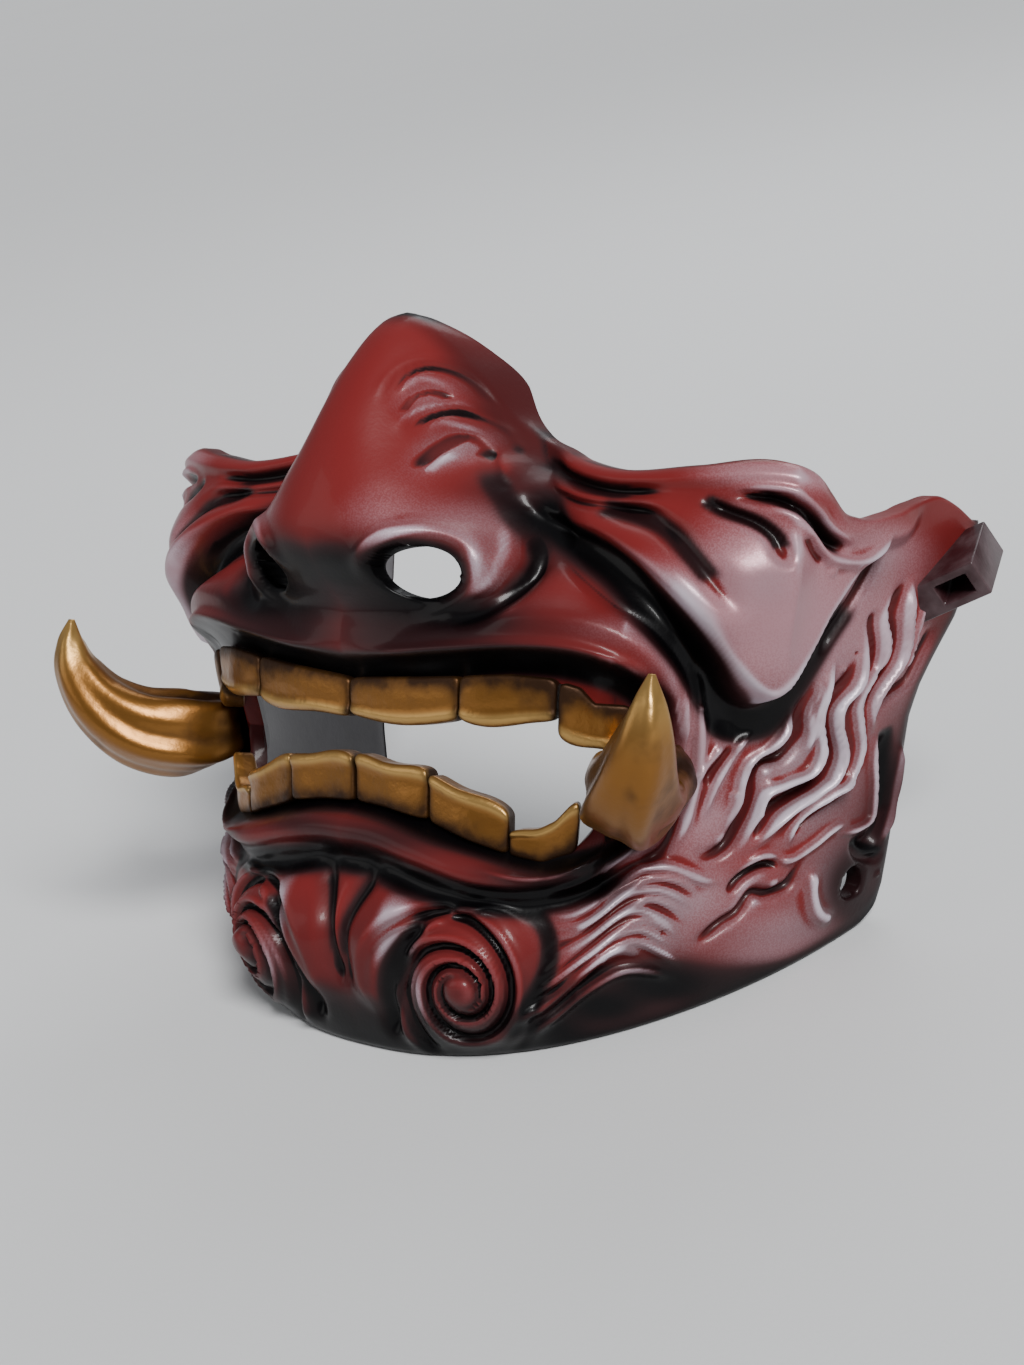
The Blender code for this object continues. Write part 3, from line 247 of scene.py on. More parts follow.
# Holes through the wall on the chart: around, up, half size around, half size up, turn in degrees
holes = {
    "nostril": (2.12, 2.82, 0.80, 0.52, 14.0),
    "strapHole": (12.6, -3.35, 0.36, 0.36, 0.0),
}


def hermite(place, places, values):
    places = np.asarray(places, float)
    values = np.asarray(values, float)
    slopes = np.gradient(values, places, axis=0)
    place = np.clip(place, places[0], places[-1])
    row = np.clip(np.searchsorted(places, place) - 1, 0, len(places) - 2)
    span = places[row + 1] - places[row]
    t = (place - places[row]) / span
    return ((2*t**3 - 3*t**2 + 1)*values[row] + (t**3 - 2*t**2 + t)*span*slopes[row]
            + (3*t**2 - 2*t**3)*values[row + 1] + (t**3 - t**2)*span*slopes[row + 1])


def linear(place, rows):
    return np.interp(place, [row[0] for row in rows], [row[1] for row in rows])


def smoothStep(x):
    x = np.clip(x, 0.0, 1.0)
    return x*x*(3 - 2*x)


def sectionCurves(steps=240):
    # each section's half outline, from the nose line to the back, evenly spaced along itself
    angle = np.linspace(0, math.pi/2, 8*steps)
    share = np.linspace(0, 1, steps + 1)
    curves = []
    for _, halfWidth, front, squareness in sections:
        x = np.sin(angle)**(2/squareness) * halfWidth*face["cheekHalfWidth"]
        back = 1 - np.cos(angle)**(2/squareness)
        forward = (front - (1 + front)*back) * face["hollowDepth"]
        run = np.concatenate([[0], np.cumsum(np.hypot(np.diff(x), np.diff(forward)))])
        run /= run[-1]
        curves.append((np.interp(share, run, x), -np.interp(share, run, forward)))
    return np.array(curves)


curves = sectionCurves()
curveUps = np.array([row[0] for row in sections])


def betweenSections(values, around, up):
    steps = values.shape[1] - 1
    step = np.clip(np.abs(around)/face["squaresAround"], 0, 1) * steps
    low = np.minimum(step.astype(int), steps - 1)
    part = step - low
    up = np.clip(up, curveUps[0], curveUps[-1])
    row = np.clip(np.searchsorted(curveUps, up) - 1, 0, len(curveUps) - 2)
    slopes = np.gradient(values, curveUps, axis=0)
    span = curveUps[row + 1] - curveUps[row]
    t = (up - curveUps[row]) / span

    def read(table, atRow):
        return table[atRow, low]*(1 - part) + table[atRow, low + 1]*part

    return ((2*t**3 - 3*t**2 + 1)*read(values, row) + (t**3 - 2*t**2 + t)*span*read(slopes, row)
            + (3*t**2 - 2*t**3)*read(values, row + 1) + (t**3 - t**2)*span*read(slopes, row + 1))


def baseSurface(around, up):
    side = np.where(around < 0, -1.0, 1.0)
    across, back = curves[:, 0, :], curves[:, 1, :]
    x = betweenSections(across, around, up)
    y = betweenSections(back, around, up)
    runX = betweenSections(np.gradient(across, axis=1), around, up)
    runY = betweenSections(np.gradient(back, axis=1), around, up)
    length = np.hypot(runX, runY)
    points = np.stack([side*x, y, up*face["squareUp"]], axis=-1)
    outward = np.stack([side*runY/length, -runX/length, np.zeros_like(x)], axis=-1)
    return points, outward


def smoothRoute(route, steps=6):
    points = np.asarray(route, float)
    padded = np.vstack([2*points[0] - points[1], points, 2*points[-1] - points[-2]])
    t = np.linspace(0, 1, steps, endpoint=False)[:, None]
    pieces = []
    for a, b, c, d in zip(padded, padded[1:], padded[2:], padded[3:]):
        pieces.append(0.5*(2*b + (c - a)*t + (2*a - 5*b + 4*c - d)*t**2 + (3*b - a - 3*c + d)*t**3))
    return np.vstack(pieces + [points[-1]])


def besideRoute(around, up, route):
    # distance to the left of a route, in squares, and how far along it, from 0 to 1
    points = smoothRoute(route)
    runs = np.diff(points, axis=0)
    lengths = np.hypot(runs[:, 0], runs[:, 1])
    starts = np.concatenate([[0], np.cumsum(lengths)])
    nearest = np.full(np.shape(around), np.inf)
    share = np.zeros(np.shape(around))
    for point, run, length, start in zip(points, runs, lengths, starts):
        offX, offY = around - point[0], up - point[1]
        t = np.clip((offX*run[0] + offY*run[1])/length**2, 0, 1)
        gap = np.hypot(offX - t*run[0], offY - t*run[1])
        closer = gap < np.abs(nearest)
        left = np.where(run[0]*offY - run[1]*offX >= 0, 1.0, -1.0)
        nearest = np.where(closer, gap*left, nearest)
        share = np.where(closer, (start + t*length)/starts[-1], share)
    return nearest, share


def stroke(around, up, rise, halfWidth, softness, route, crispness=2):
    # a soft ridge or groove along a route, worked out only near it
    line = np.asarray(route, float)
    reach = 3.2*halfWidth
    near = ((around > line[:, 0].min() - reach) & (around < line[:, 0].max() + reach)
            & (up > line[:, 1].min() - reach) & (up < line[:, 1].max() + reach))
    total = np.zeros(np.shape(around))
    if near.any():
        beside, share = besideRoute(around[near], up[near], route)
        ends = smoothStep(np.minimum(share, 1 - share)/softness)
        total[near] = rise * np.exp(-np.abs(beside/halfWidth)**crispness) * ends
    return total


def noseRelief(around, up, inside):
    ups = [row[0] for row in nose]
    front = hermite(up, ups, [row[1] for row in nose]) * face["hollowDepth"]
    halfWidth = hermite(up, ups, [row[2] for row in nose]) - inside*face["wall"]/face["squareUp"]*1.1
    baseFront = hermite(up, curveUps, [row[2] for row in sections]) * face["hollowDepth"]
    across = np.clip(np.abs(around)/np.maximum(halfWidth, 0.1), 0, 1)
    return (front - baseFront) * np.clip(1 - across**2.4, 0, 1)**1.5 * smoothStep(up - 0.6)


def smoothShare(around, up, route):
    # how far along a route a place lies and its distance from it, with no jump midway between two stretches
    points = smoothRoute(route)
    lengths = np.hypot(*np.diff(points, axis=0).T)
    shares = np.concatenate([[0], np.cumsum(lengths)])/lengths.sum()
    total, weights = np.zeros(np.shape(around)), np.zeros(np.shape(around))
    for (atAround, atUp), share in zip(points, shares):
        weight = ((around - atAround)**2 + (up - atUp)**2 + 0.06)**-2
        total += weight*share
        weights += weight
    return total/weights, 2.0*weights**-0.25


def cheekRelief(around, up, inside):
    beside, along = besideRoute(around, up, cheekEdge)
    share, distance = smoothShare(around, up, cheekEdge)
    ends = smoothStep(np.minimum(along, 1 - along)/0.08)
    rise = linear(share, cheekRise) * linear(np.where(beside > 0, distance, 0), cheekFade) * ends
    step = (beside - 0.15)/1.1 if inside else (beside + 0.20)/0.38
    return face["relief"] * rise * smoothStep(step)


def lipTuck(around, up):
    above = np.clip(up - linear(around, upperLip), 0, None)
    below = np.clip(linear(around, lowerLip) - up, 0, None)
    near = np.exp(-(above/face["tuckAbove"])**4 - (below/face["tuckBelow"])**2)
    start, end = face["lipCorner"]
    return -face["tuckDepth"]*face["relief"] * near * (1 - smoothStep((around - start)/(end - start)))


def spiralRelief(around, up):
    x, y = around - spiral["at"][0], up - spiral["at"][1]
    drift = spiral["drift"]
    reach = np.hypot(x, y)
    for _ in range(4):
        reach = np.hypot(x + drift[0]*reach, y + drift[1]*reach)
    radius = np.clip(reach, 0.05, None)
    turn = np.arctan2(y + drift[1]*reach, x + drift[0]*reach)
    heart, edge = spiral["heart"], spiral["edge"]
    phase = (spiral["wind"]*np.log(radius/heart) - spiral["arms"]*turn)/(2*math.pi)
    phase = phase - np.floor(phase)
    groove = np.exp(-((phase - 0.30)/0.17)**2)
    edging = np.exp(-((phase - 0.62)/0.15)**2)
    fade = smoothStep((radius - 0.9*heart)/0.2) * (1 - smoothStep((radius - 0.78*edge)/0.5))
    middle = np.exp(-(radius/heart)**4)
    return spiral["rise"]*face["relief"] * ((0.45*edging - groove)*fade + 0.9*middle)


def floorUp(around):
    # where the wall meets the surface that the mask rests on
    lean = math.radians(face["lean"])
    square = face["squareUp"]
    up = np.full(np.shape(around), -face["chinDrop"]/square)
    for _ in range(8):
        y = baseSurface(around, up)[0][..., 1]
        up = (y*math.sin(lean) - face["chinDrop"])/math.cos(lean)/square
    heel = np.clip((np.abs(around) - face["heelFrom"])/(face["backAround"] - face["heelFrom"]), 0, 1)
    return up + 0.6*(1 - np.sqrt(1 - 0.999*heel**2))


def reliefAt(around, up, inside=False):
    away = np.abs(around)
    scale = face["relief"]
    total = noseRelief(away, up, inside) + lipTuck(away, up)
    for rise, halfWidth, softness, route in folds:
        total = total + scale*stroke(away, up, rise, halfWidth, softness, route)
    lower = smoothStep((up - floorUp(away))/0.5)
    back = smoothStep((linear(up, backEdge) - away)/0.35)
    fade = lower*back
    total = total + cheekRelief(away, up, inside)*fade
    if inside:
        return total*fade - face["wall"]
    for atAround, atUp, wide, high, rise in swellings:
        total = total + rise*scale * np.exp(-((away - atAround)/wide)**2 - ((up - atUp)/high)**2)
    total = total + spiralRelief(away, up)
    for rise, halfWidth, route in noseStrokes + browStrokes + flameStrokes + beardStrokes:
        total = total + scale*stroke(away, up, rise, halfWidth, 0.22, route)
    for atAround, atUp, radius, rise in bubbles:
        gap = np.hypot((away - atAround)*1.1, up - atUp)/radius
        total = total + rise*scale*np.exp(-gap**4)
    return total*fade


def facePoint(around, up, inside=False, extra=0.0):
    points, outward = baseSurface(around, up)
    return points + outward*(reliefAt(around, up, inside) + extra)[..., None]


def toRow(places):
    # from the upright face to the mask leaning on its rim
    turn = np.array(Matrix.Rotation(math.radians(-face["lean"]), 3, 'X'))
    return places @ turn.T + np.array(face["seat"])


def chartPlace(column, row, mouthColumns, sideColumns, lowerRows, upperRows):
    corner = face["mouthCorner"]
    mouth = np.linspace(0, corner[0], mouthColumns + 1)
    side = np.linspace(corner[0], face["backAround"], sideColumns + 1)
    away = np.concatenate([mouth, side[1:]])[np.abs(column)]
    # rows bend round the mouth, most beside it; past its corner they run straight
    bendLow = linear(away, lowerGum) - corner[1]
    bendHigh = linear(away, upperGum) - corner[1]
    past = np.clip((away - corner[0])/(face["backAround"] - corner[0]), 0, 1)**3
    bottom = floorUp(away)
    topAround, topUp = zip(*topEdge)
    top = hermite(away + past*(backEdge[-1][1] - face["backAround"]), topAround, topUp)
    low = np.clip(row/lowerRows, 0, 1)
    high = np.where(away < corner[0], (row - lowerRows - 1)/upperRows, (row - lowerRows)/(upperRows + 1))
    high = np.clip(high, 0, 1)
    up = np.where(row <= lowerRows, bottom + (corner[1] - bottom)*low + bendLow*low**3,
                  corner[1] + (top - corner[1])*high + bendHigh*(1 - high)**3)
    away = away + (linear(up, backEdge) - face["backAround"])*past
    return away, up


def holeShare(away, up, hole):
    # distance from a hole's middle, 1 on its edge
    atAround, atUp, halfAround, halfUp, turn = hole
    x, y = away - atAround, up - atUp
    cos, sin = math.cos(math.radians(turn)), math.sin(math.radians(turn))
    return np.hypot((x*cos + y*sin)/halfAround, (y*cos - x*sin)/halfUp)


def gridOf(sizes):
    return [sizes[key] for key in ("mouthColumns", "sideColumns", "lowerRows", "upperRows")]


def flatSheet(grid):
    # rows and columns of the chart, open at the mouth, nostrils and strap holes
    mouthColumns, sideColumns, lowerRows, upperRows = grid
    columns = mouthColumns + sideColumns
    rows = lowerRows + 1 + upperRows
    bm = bmesh.new()
    bmesh.ops.create_grid(bm, x_segments=2*columns, y_segments=rows, size=0.5)
    bmesh.ops.translate(bm, verts=bm.verts[:], vec=(0, 0.5, 0))
    bmesh.ops.scale(bm, verts=bm.verts[:], vec=(2*columns, rows, 1))
    flat = np.array([vert.co[:2] for vert in bm.verts])
    away, up = chartPlace(*np.rint(flat).astype(int).T, *grid)
    inHole = np.min([holeShare(away, up, hole) for hole in holes.values()], axis=0) < 1
    gone = []
    for quad in bm.faces:
        middle = quad.calc_center_median()
        inMouth = abs(middle.x) < mouthColumns and lowerRows < middle.y < lowerRows + 1
        if inMouth or sum(inHole[vert.index] for vert in quad.verts) > 2:
            gone.append(quad)
    bmesh.ops.delete(bm, geom=gone, context='FACES')
    return bm


def sheetCode(verts):
    # one whole number for each crossing of rows and columns
    flat = np.rint(np.array([vert.co[:2] for vert in verts])).astype(int)
    return flat, flat[:, 0]*4096 + flat[:, 1]


def sheetPlaces(flat, atEdge, grid):
    # chart place of each point; the ragged edge of each hole is drawn onto its ellipse
    away, up = chartPlace(*flat.T, *grid)
    for hole in holes.values():
        share = holeShare(away, up, hole)
        near = atEdge & (share < 1.4)
        away = np.where(near, hole[0] + (away - hole[0])/share, away)
        up = np.where(near, hole[1] + (up - hole[1])/share, up)
    return np.where(flat[:, 0] < 0, -away, away), up


def moveVerts(bm, places):
    for vert, place in zip(bm.verts, places):
        vert.co = place
    bm.normal_update()
    bmesh.ops.recalc_face_normals(bm, faces=bm.faces[:])


def turnSheet(bm, way):
    # way is -1 for a sheet that looks to the front and 1 for one that looks to the back
    bm.normal_update()
    if np.mean([quad.normal.y*quad.calc_area() for quad in bm.faces])*way < 0:
        bmesh.ops.reverse_faces(bm, faces=bm.faces[:])


def finishPiece(name, bm, material, nodes):
    bm.normal_update()
    mesh = bpy.data.meshes.new(name)
    bm.to_mesh(mesh)
    bm.free()
    mesh.shade_smooth()
    mesh.materials.append(material)
    piece = bpy.data.objects.new(name, mesh)
    bpy.context.scene.collection.objects.link(piece)
    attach(piece, "root")
    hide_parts(*nodes)
    return piece


def storeValues(piece, **values):
    for name, numbers in values.items():
        store = piece.data.attributes.new(name, 'FLOAT', 'POINT')
        store.data.foreach_set("value", np.asarray(numbers, np.float32))


# Where the paint changes: around, up, half size around, half size up, amount
paint = {
    "pearl": (
        (9.0, 2.3, 2.2, 2.0, 0.98), (8.1, 3.1, 0.8, 1.0, 0.85), (11.2, 3.8, 1.6, 0.6, 0.65),
        (11.6, 2.0, 1.5, 1.8, 0.65), (13.2, 1.4, 0.8, 2.0, 0.45), (10.5, -1.0, 2.4, 2.0, 0.75),
        (8.2, -1.5, 0.8, 1.4, 0.75), (7.3, -3.6, 2.2, 0.7, 0.90), (6.9, -4.6, 1.6, 0.6, 0.80),
        (12.3, -3.3, 1.3, 1.0, 0.80), (11.0, -4.4, 1.8, 0.6, 0.75), (1.75, -4.7, 0.36, 1.0, 0.95),
        (3.4, 2.9, 0.35, 0.9, 0.50), (2.9, 3.9, 0.7, 0.6, 0.50), (1.95, 5.4, 0.40, 0.5, 0.65),
        (1.3, 6.5, 0.45, 0.6, 0.45), (8.4, 5.15, 1.3, 0.30, 0.90), (1.8, 3.8, 1.0, 0.5, 0.35),
        (6.2, 1.9, 1.4, 0.30, 0.35), (2.3, -6.1, 0.25, 1.0, 0.35), (7.4, 2.3, 0.6, 0.9, 0.60),
        (1.5, 4.3, 0.8, 0.8, 0.28), (7.9, 0.2, 0.4, 1.6, 0.45), (6.6, -2.6, 0.9, 0.3, 0.50),
        (3.6, -5.8, 1.6, 1.6, 0.06), (10.3, -4.95, 1.3, 0.45, 0.62),
    ),
    "grey": (
        (11.0, -1.0, 3.2, 3.2, 0.85), (12.3, -3.3, 1.6, 1.2, 0.95), (7.2, -4.2, 2.4, 1.3, 0.85),
        (8.2, 3.1, 0.5, 0.6, 0.40), (11.2, 3.4, 0.8, 0.6, 0.60), (3.4, 3.0, 0.8, 1.4, 0.80),
        (1.7, 5.9, 0.9, 1.3, 0.90), (1.6, -5.0, 0.8, 1.5, 0.80), (13.6, -1.0, 0.8, 2.5, 0.9),
    ),
    # smooth: where the fine relief counts less in the paint, so less painted crease shade and less crest
    # silver
    "smooth": (
        (8.7, 2.3, 1.3, 1.4, 0.90), (2.2, 6.8, 0.7, 1.1, 0.80), (1.3, 7.8, 0.8, 0.8, 0.95),
        (3.1, 4.5, 0.8, 0.7, 0.60), (0.4, 5.5, 1.0, 2.5, 0.60),
    ),
    # dark: partly the mask's own dark airbrushing, partly painted shade under the nose, under the cheek
    # plate's tip, under the jaw and along the chin's bottom
    "dark": (
        (5.3, -6.6, 1.2, 0.55, 0.93), (6.6, -6.0, 1.3, 0.50, 0.95), (8.0, -5.55, 1.1, 0.40, 0.85),
        (0.5, 2.75, 1.1, 0.45, 0.97), (1.2, 2.1, 1.4, 0.5, 0.60), (9.0, 0.15, 0.9, 0.40, 0.85),
        (0.9, 3.0, 1.2, 0.5, 0.45), (7.7, -5.3, 1.3, 0.5, 0.75), (4.6, -7.3, 2.0, 0.5, 0.92),
        (0.3, -7.4, 3.0, 0.5, 0.90), (2.4, 2.1, 1.6, 0.5, 0.60), (7.05, -0.9, 0.4, 1.6, 0.97),
        (0.5, -6.9, 1.6, 0.7, 0.75), (2.6, -7.0, 1.1, 0.8, 0.70), (2.9, 1.95, 0.9, 0.35, 0.60),
        (1.0, -2.8, 2.6, 0.45, 0.55), (4.8, -3.3, 1.6, 0.35, 0.50), (1.5, 1.3, 2.4, 0.6, 0.55),
        (4.5, 1.9, 3.5, 0.6, 0.30), (1.5, -5.4, 3.5, 1.5, 0.32), (3.9, -6.2, 1.8, 1.2, 0.42),
        (13.5, -4.0, 1.0, 0.4, 0.50), (4.2, 4.6, 1.4, 0.4, 0.25), (12.5, -3.3, 1.0, 0.9, 0.68),
        (13.2, -1.5, 0.8, 2.2, 0.55), (10.5, -4.5, 3.0, 0.5, 0.20), (9.6, 0.6, 1.6, 0.6, 0.25),
        (3.0, 4.9, 0.6, 0.7, 0.40), (2.2, 3.4, 2.2, 1.0, 0.22), (10.4, -5.35, 1.6, 0.40, 0.62),
        (12.0, -2.2, 1.5, 2.0, 0.22), (9.2, -5.6, 1.2, 0.5, 0.45),
    ),
}
rimShade = {"low": 0.30, "back": 0.40}      # how far the dark edge reaches, in squares

# painted shade in the grooves, in the valley under the cheek plate and under the lips: amount, half width,
# route (around, up)
shadeStrokes = (
    (0.98, 0.40, ((3.0, 4.75), (3.5, 4.3), (4.2, 3.78), (4.9, 3.45), (5.7, 3.05), (6.4, 2.52), (7.0, 1.95),
                  (7.6, 1.3), (8.1, 0.6), (8.6, 0.15), (9.2, 0.10))),
    (0.80, 0.34, ((8.0, 0.5), (8.5, 0.1), (9.2, 0.15), (9.7, 0.6), (10.1, 1.3), (10.5, 2.1), (10.9, 2.9))),
    (0.98, 0.33, ((-1.0, 0.60), (1.0, 0.72), (2.0, 0.85), (3.0, 0.98), (4.0, 1.12), (5.2, 1.12), (6.2, 0.90),
                  (6.9, 0.45), (7.3, -0.2))),
    (0.98, 0.34, ((-1.0, -3.45), (0.5, -3.42), (2.0, -3.68), (3.4, -3.85), (4.8, -3.78), (6.0, -3.35),
                  (6.8, -2.8))),
    (0.90, 0.24, ((-1.0, -2.15), (1.0, -2.25), (3.0, -2.65), (5.0, -2.95), (6.2, -2.7), (7.2, -1.9),
                  (7.5, -0.9))),
    (0.50, 0.13, ((2.4, 5.2), (3.15, 4.25), (3.65, 3.7), (3.98, 3.15), (3.85, 2.5), (3.4, 2.05), (2.6, 1.8))),
    (0.70, 0.20, ((5.0, 4.4), (6.0, 4.2), (6.6, 3.95), (7.1, 3.45), (7.55, 2.85))),
    (0.70, 0.15, ((2.9, 5.35), (3.6, 5.1), (4.4, 4.85), (5.2, 4.7), (5.9, 4.7))),
    (0.85, 0.24, ((2.45, -4.35), (2.0, -5.05), (1.6, -5.8), (1.35, -6.6), (1.3, -7.2))),
    (0.60, 0.14, ((0.75, -3.55), (0.45, -4.1), (0.22, -4.8), (0.15, -5.6))),
    (0.80, 0.20, ((2.4, -4.3), (3.0, -3.95), (4.0, -3.8), (5.0, -4.2), (5.25, -5.0), (4.9, -6.0),
                  (4.2, -6.9))),
    (0.85, 0.14, ((12.4, -2.35), (12.9, -2.6), (13.5, -2.75))),
    (0.95, 0.26, ((12.75, 0.1), (12.95, -0.5), (13.1, -1.2), (13.15, -1.9))),
    (0.80, 0.15, ((7.1, 4.65), (7.5, 4.4), (8.0, 4.2), (8.3, 3.95), (8.45, 3.6))),
    (0.80, 0.14, ((7.9, 4.72), (8.3, 4.66), (8.85, 4.3), (9.3, 3.95), (9.8, 3.72))),
)


def zoneSum(away, up, rows):
    left = np.ones(np.shape(away))
    for atAround, atUp, wide, high, amount in rows:
        left = left*(1 - amount*np.exp(-((away - atAround)/wide)**2 - ((up - atUp)/high)**2))
    return 1 - left


def blurred(table, times):
    for _ in range(times):
        table = np.pad(table, 1, mode='edge')
        table = (table[:-2] + 2*table[1:-1] + table[2:])/4
        table = (table[:, :-2] + 2*table[:, 1:-1] + table[:, 2:])/4
    return table


def standing(flat, grid):
    # how far each point stands above or below its near and its wider surroundings
    mouthColumns, sideColumns, lowerRows, upperRows = grid
    column, row = np.meshgrid(np.arange(mouthColumns + sideColumns + 1), np.arange(lowerRows + upperRows + 2))
    height = reliefAt(*chartPlace(column, row, *grid))/face["relief"]
    near, wide = blurred(height, 12), blurred(height, 160)
    jaws = (slice(0, lowerRows + 1), slice(lowerRows + 1, None))
    past = smoothStep((column - mouthColumns)/8)
    for part in jaws:
        near[part] += (blurred(height[part], 12) - near[part])*(1 - past[part])
        wide[part] += (blurred(height[part], 160) - wide[part])*(1 - past[part])
    fine, broad = height - near, near - wide
    spot = (flat[:, 1], np.abs(flat[:, 0]))
    return fine[spot], broad[spot]


def paintFace(piece, flat, grid, around, up):
    away = np.abs(around)
    fine, broad = standing(flat, grid)
    pearl = zoneSum(away, up, paint["pearl"])
    undarkened = 1 - zoneSum(away, up, paint["dark"])
    smooth = 1 - zoneSum(away, up, paint["smooth"])
    overRim, beforeBack = up - floorUp(away), linear(up, backEdge) - away
    for amount, halfWidth, beside in ((0.80, rimShade["low"], overRim), (0.70, rimShade["back"], beforeBack)):
        undarkened = undarkened*(1 - amount*np.exp(-(beside/halfWidth)**2))
    # painted shade along the grooves and under the lips and the cheek plate
    for amount, halfWidth, route in shadeStrokes:
        undarkened = undarkened*(1 - stroke(away, up, amount, halfWidth, 0.12, route, 4))
    # painted shade round the nostril's edge
    ring = holeShare(away, up, holes["nostril"])
    undarkened = undarkened*(1 - 0.95*np.exp(-((ring - 0.9)/0.35)**2))
    grey = zoneSum(away, up, paint["grey"])
    storeValues(piece, pearl=pearl, grey=grey, dark=1 - undarkened, fine=fine*smooth, broad=broad)


def buildFace(material):
    grid = gridOf(face)
    bm = flatSheet(grid)
    edges = [edge for edge in bm.edges if edge.is_boundary]
    rim = {vert for edge in edges for vert in edge.verts}
    nextToRim = {edge.other_vert(vert) for vert in rim for edge in vert.link_edges} - rim
    rimCodes, nextCodes = sheetCode(rim)[1], sheetCode(nextToRim)[1]
    skirt = {item for item in bmesh.ops.extrude_edge_only(bm, edges=edges)["geom"]
             if isinstance(item, bmesh.types.BMVert)}
    inner = np.array([vert in skirt for vert in bm.verts])
    flat, codes = sheetCode(bm.verts)
    atEdge = np.isin(codes, rimCodes)
    around, up = sheetPlaces(flat, atEdge, grid)
    extra = -face["edgeRound"]*(0.75*atEdge + 0.18*np.isin(codes, nextCodes))
    places = facePoint(around, up, extra=extra)
    places[inner] = facePoint(around[inner], up[inner], inside=True)
    # the lower rim lies flat on the floor
    lean = math.radians(face["lean"])
    seated = (places[:, 1]*math.sin(lean) - face["chinDrop"])/math.cos(lean)
    onFloor = (flat[:, 1] == 0) & (np.abs(around) <= face["heelFrom"])
    places[:, 2] = np.where(onFloor, seated, places[:, 2])
    moveVerts(bm, toRow(places))
    turnSheet(bm, -1)
    piece = finishPiece("maskFace", bm, material, ["mask_shell"])
    paintFace(piece, flat, grid, around, up)


# The hollow side of the wall
lining = {
    "mouthColumns": 54,
    "sideColumns": 44,
    "lowerRows": 40,
    "upperRows": 64,
    "overlap": 0.0003,
    "clear": 0.00002,           # how far it stays above the floor
}


def buildLining(material):
    grid = gridOf(lining)
    bm = flatSheet(grid)
    atEdge = np.array([vert.is_boundary for vert in bm.verts])
    around, up = sheetPlaces(sheetCode(bm.verts)[0], atEdge, grid)
    extra = np.where(atEdge, lining["overlap"], 0.0)
    moveVerts(bm, toRow(facePoint(around, up, True, extra)))
    turnSheet(bm, 1)
    floorLine = toRow(np.zeros((1, 3)))[0, 2] - face["chinDrop"]
    for vert in bm.verts:
        vert.co.z = max(vert.co.z, floorLine + lining["clear"])
    finishPiece("maskLining", bm, material, ["mask_shell"])


# The strap lug on each side
lug = {
    "at": (12.75, 3.1),
    "out": 0.0134,
    "long": 0.0177,
    "thick": 0.0085,
    "slotWide": 0.0075,
    "slotHigh": 0.0045,
    "tilt": 25.3,
    "toe": 7.25,
    "pitch": 35.0,
    "edge": 0.0005,
    "base": 0.0060,             # box inside the outer surface before it is cut
    "buried": 0.0020,           # depth at which the wall cuts it
}


def lugInFace():
    # from the lug's own axes to the upright face
    corner = facePoint(np.array([lug["at"][0]]), np.array([lug["at"][1]]))[0]
    toe = Matrix.Rotation(math.radians(lug["toe"]), 4, 'Z')
    tilt = Matrix.Rotation(math.radians(-lug["tilt"]), 4, 'Y')
    pitch = Matrix.Rotation(math.radians(lug["pitch"]), 4, 'X')
    return Matrix.Translation(Vector(corner)) @ toe @ tilt @ pitch


def faceInRow(side):
    lean = Matrix.Rotation(math.radians(-face["lean"]), 4, 'X')
    return Matrix.Translation(Vector(face["seat"])) @ lean @ Matrix.Scale(side, 4, (1, 0, 0))


def trimLug(bm):
    # the base stops inside the wall: the search finds the spot of the chart nearest to its middle
    middle = np.array(lugInFace() @ Vector((0, lug["long"]/2, -lug["thick"]/2)))
    around, up = np.meshgrid(np.linspace(11, 14.8, 77), np.linspace(0.5, 5.5, 101))
    points, outward = baseSurface(around.ravel(), up.ravel())
    nearest = np.argmin(((points - middle)**2).sum(axis=1))
    cut = bmesh.ops.bisect_plane(bm, geom=bm.verts[:] + bm.edges[:] + bm.faces[:],
                                 plane_co=points[nearest] - outward[nearest]*lug["buried"],
                                 plane_no=outward[nearest], clear_inner=True)
    rim = [item for item in cut["geom_cut"] if isinstance(item, bmesh.types.BMEdge)]
    bmesh.ops.triangle_fill(bm, edges=rim, use_beauty=True)


def cutSlot(bm):
    # the slot runs the long way: both ends are cut to its outline and bridged
    ends = [quad for quad in bm.faces if abs(quad.normal.y) > 0.9]
    bmesh.ops.inset_individual(bm, faces=ends, thickness=0.0015)
    middle = lug["out"]/2
    for quad in ends:
        centre = quad.calc_center_median()
        for vert in quad.verts:
            vert.co.x = middle + math.copysign(lug["slotWide"]/2, vert.co.x - centre.x)
            vert.co.z = -lug["thick"]/2 + math.copysign(lug["slotHigh"]/2, vert.co.z - centre.z)
    mouths = [edge for quad in ends for edge in quad.edges]
    bmesh.ops.delete(bm, geom=ends, context='FACES_ONLY')
    bmesh.ops.bridge_loops(bm, edges=mouths)


def buildLug(side, name, material):
    bm = bmesh.new()
    bmesh.ops.create_cube(bm, size=1.0)
    bmesh.ops.scale(bm, verts=bm.verts[:], vec=(lug["out"] + lug["base"], lug["long"], lug["thick"]))
    bmesh.ops.translate(bm, verts=bm.verts[:],
                        vec=((lug["out"] - lug["base"])/2, lug["long"]/2, -lug["thick"]/2))
    cutSlot(bm)
    sharp = [edge for edge in bm.edges if len(edge.link_faces) == 2 and edge.calc_face_angle() > 0.5]
    bmesh.ops.bevel(bm, geom=sharp, offset=lug["edge"], affect='EDGES', segments=3, profile=0.5, material=-1)
    bmesh.ops.transform(bm, matrix=lugInFace(), verts=bm.verts[:])
    trimLug(bm)
    bmesh.ops.transform(bm, matrix=faceInRow(side), verts=bm.verts[:])
    bmesh.ops.recalc_face_normals(bm, faces=bm.faces[:])
    piece = finishPiece(name, bm, material, ["mask_shell"])
    piece.data.set_sharp_from_angle(angle=math.radians(28))


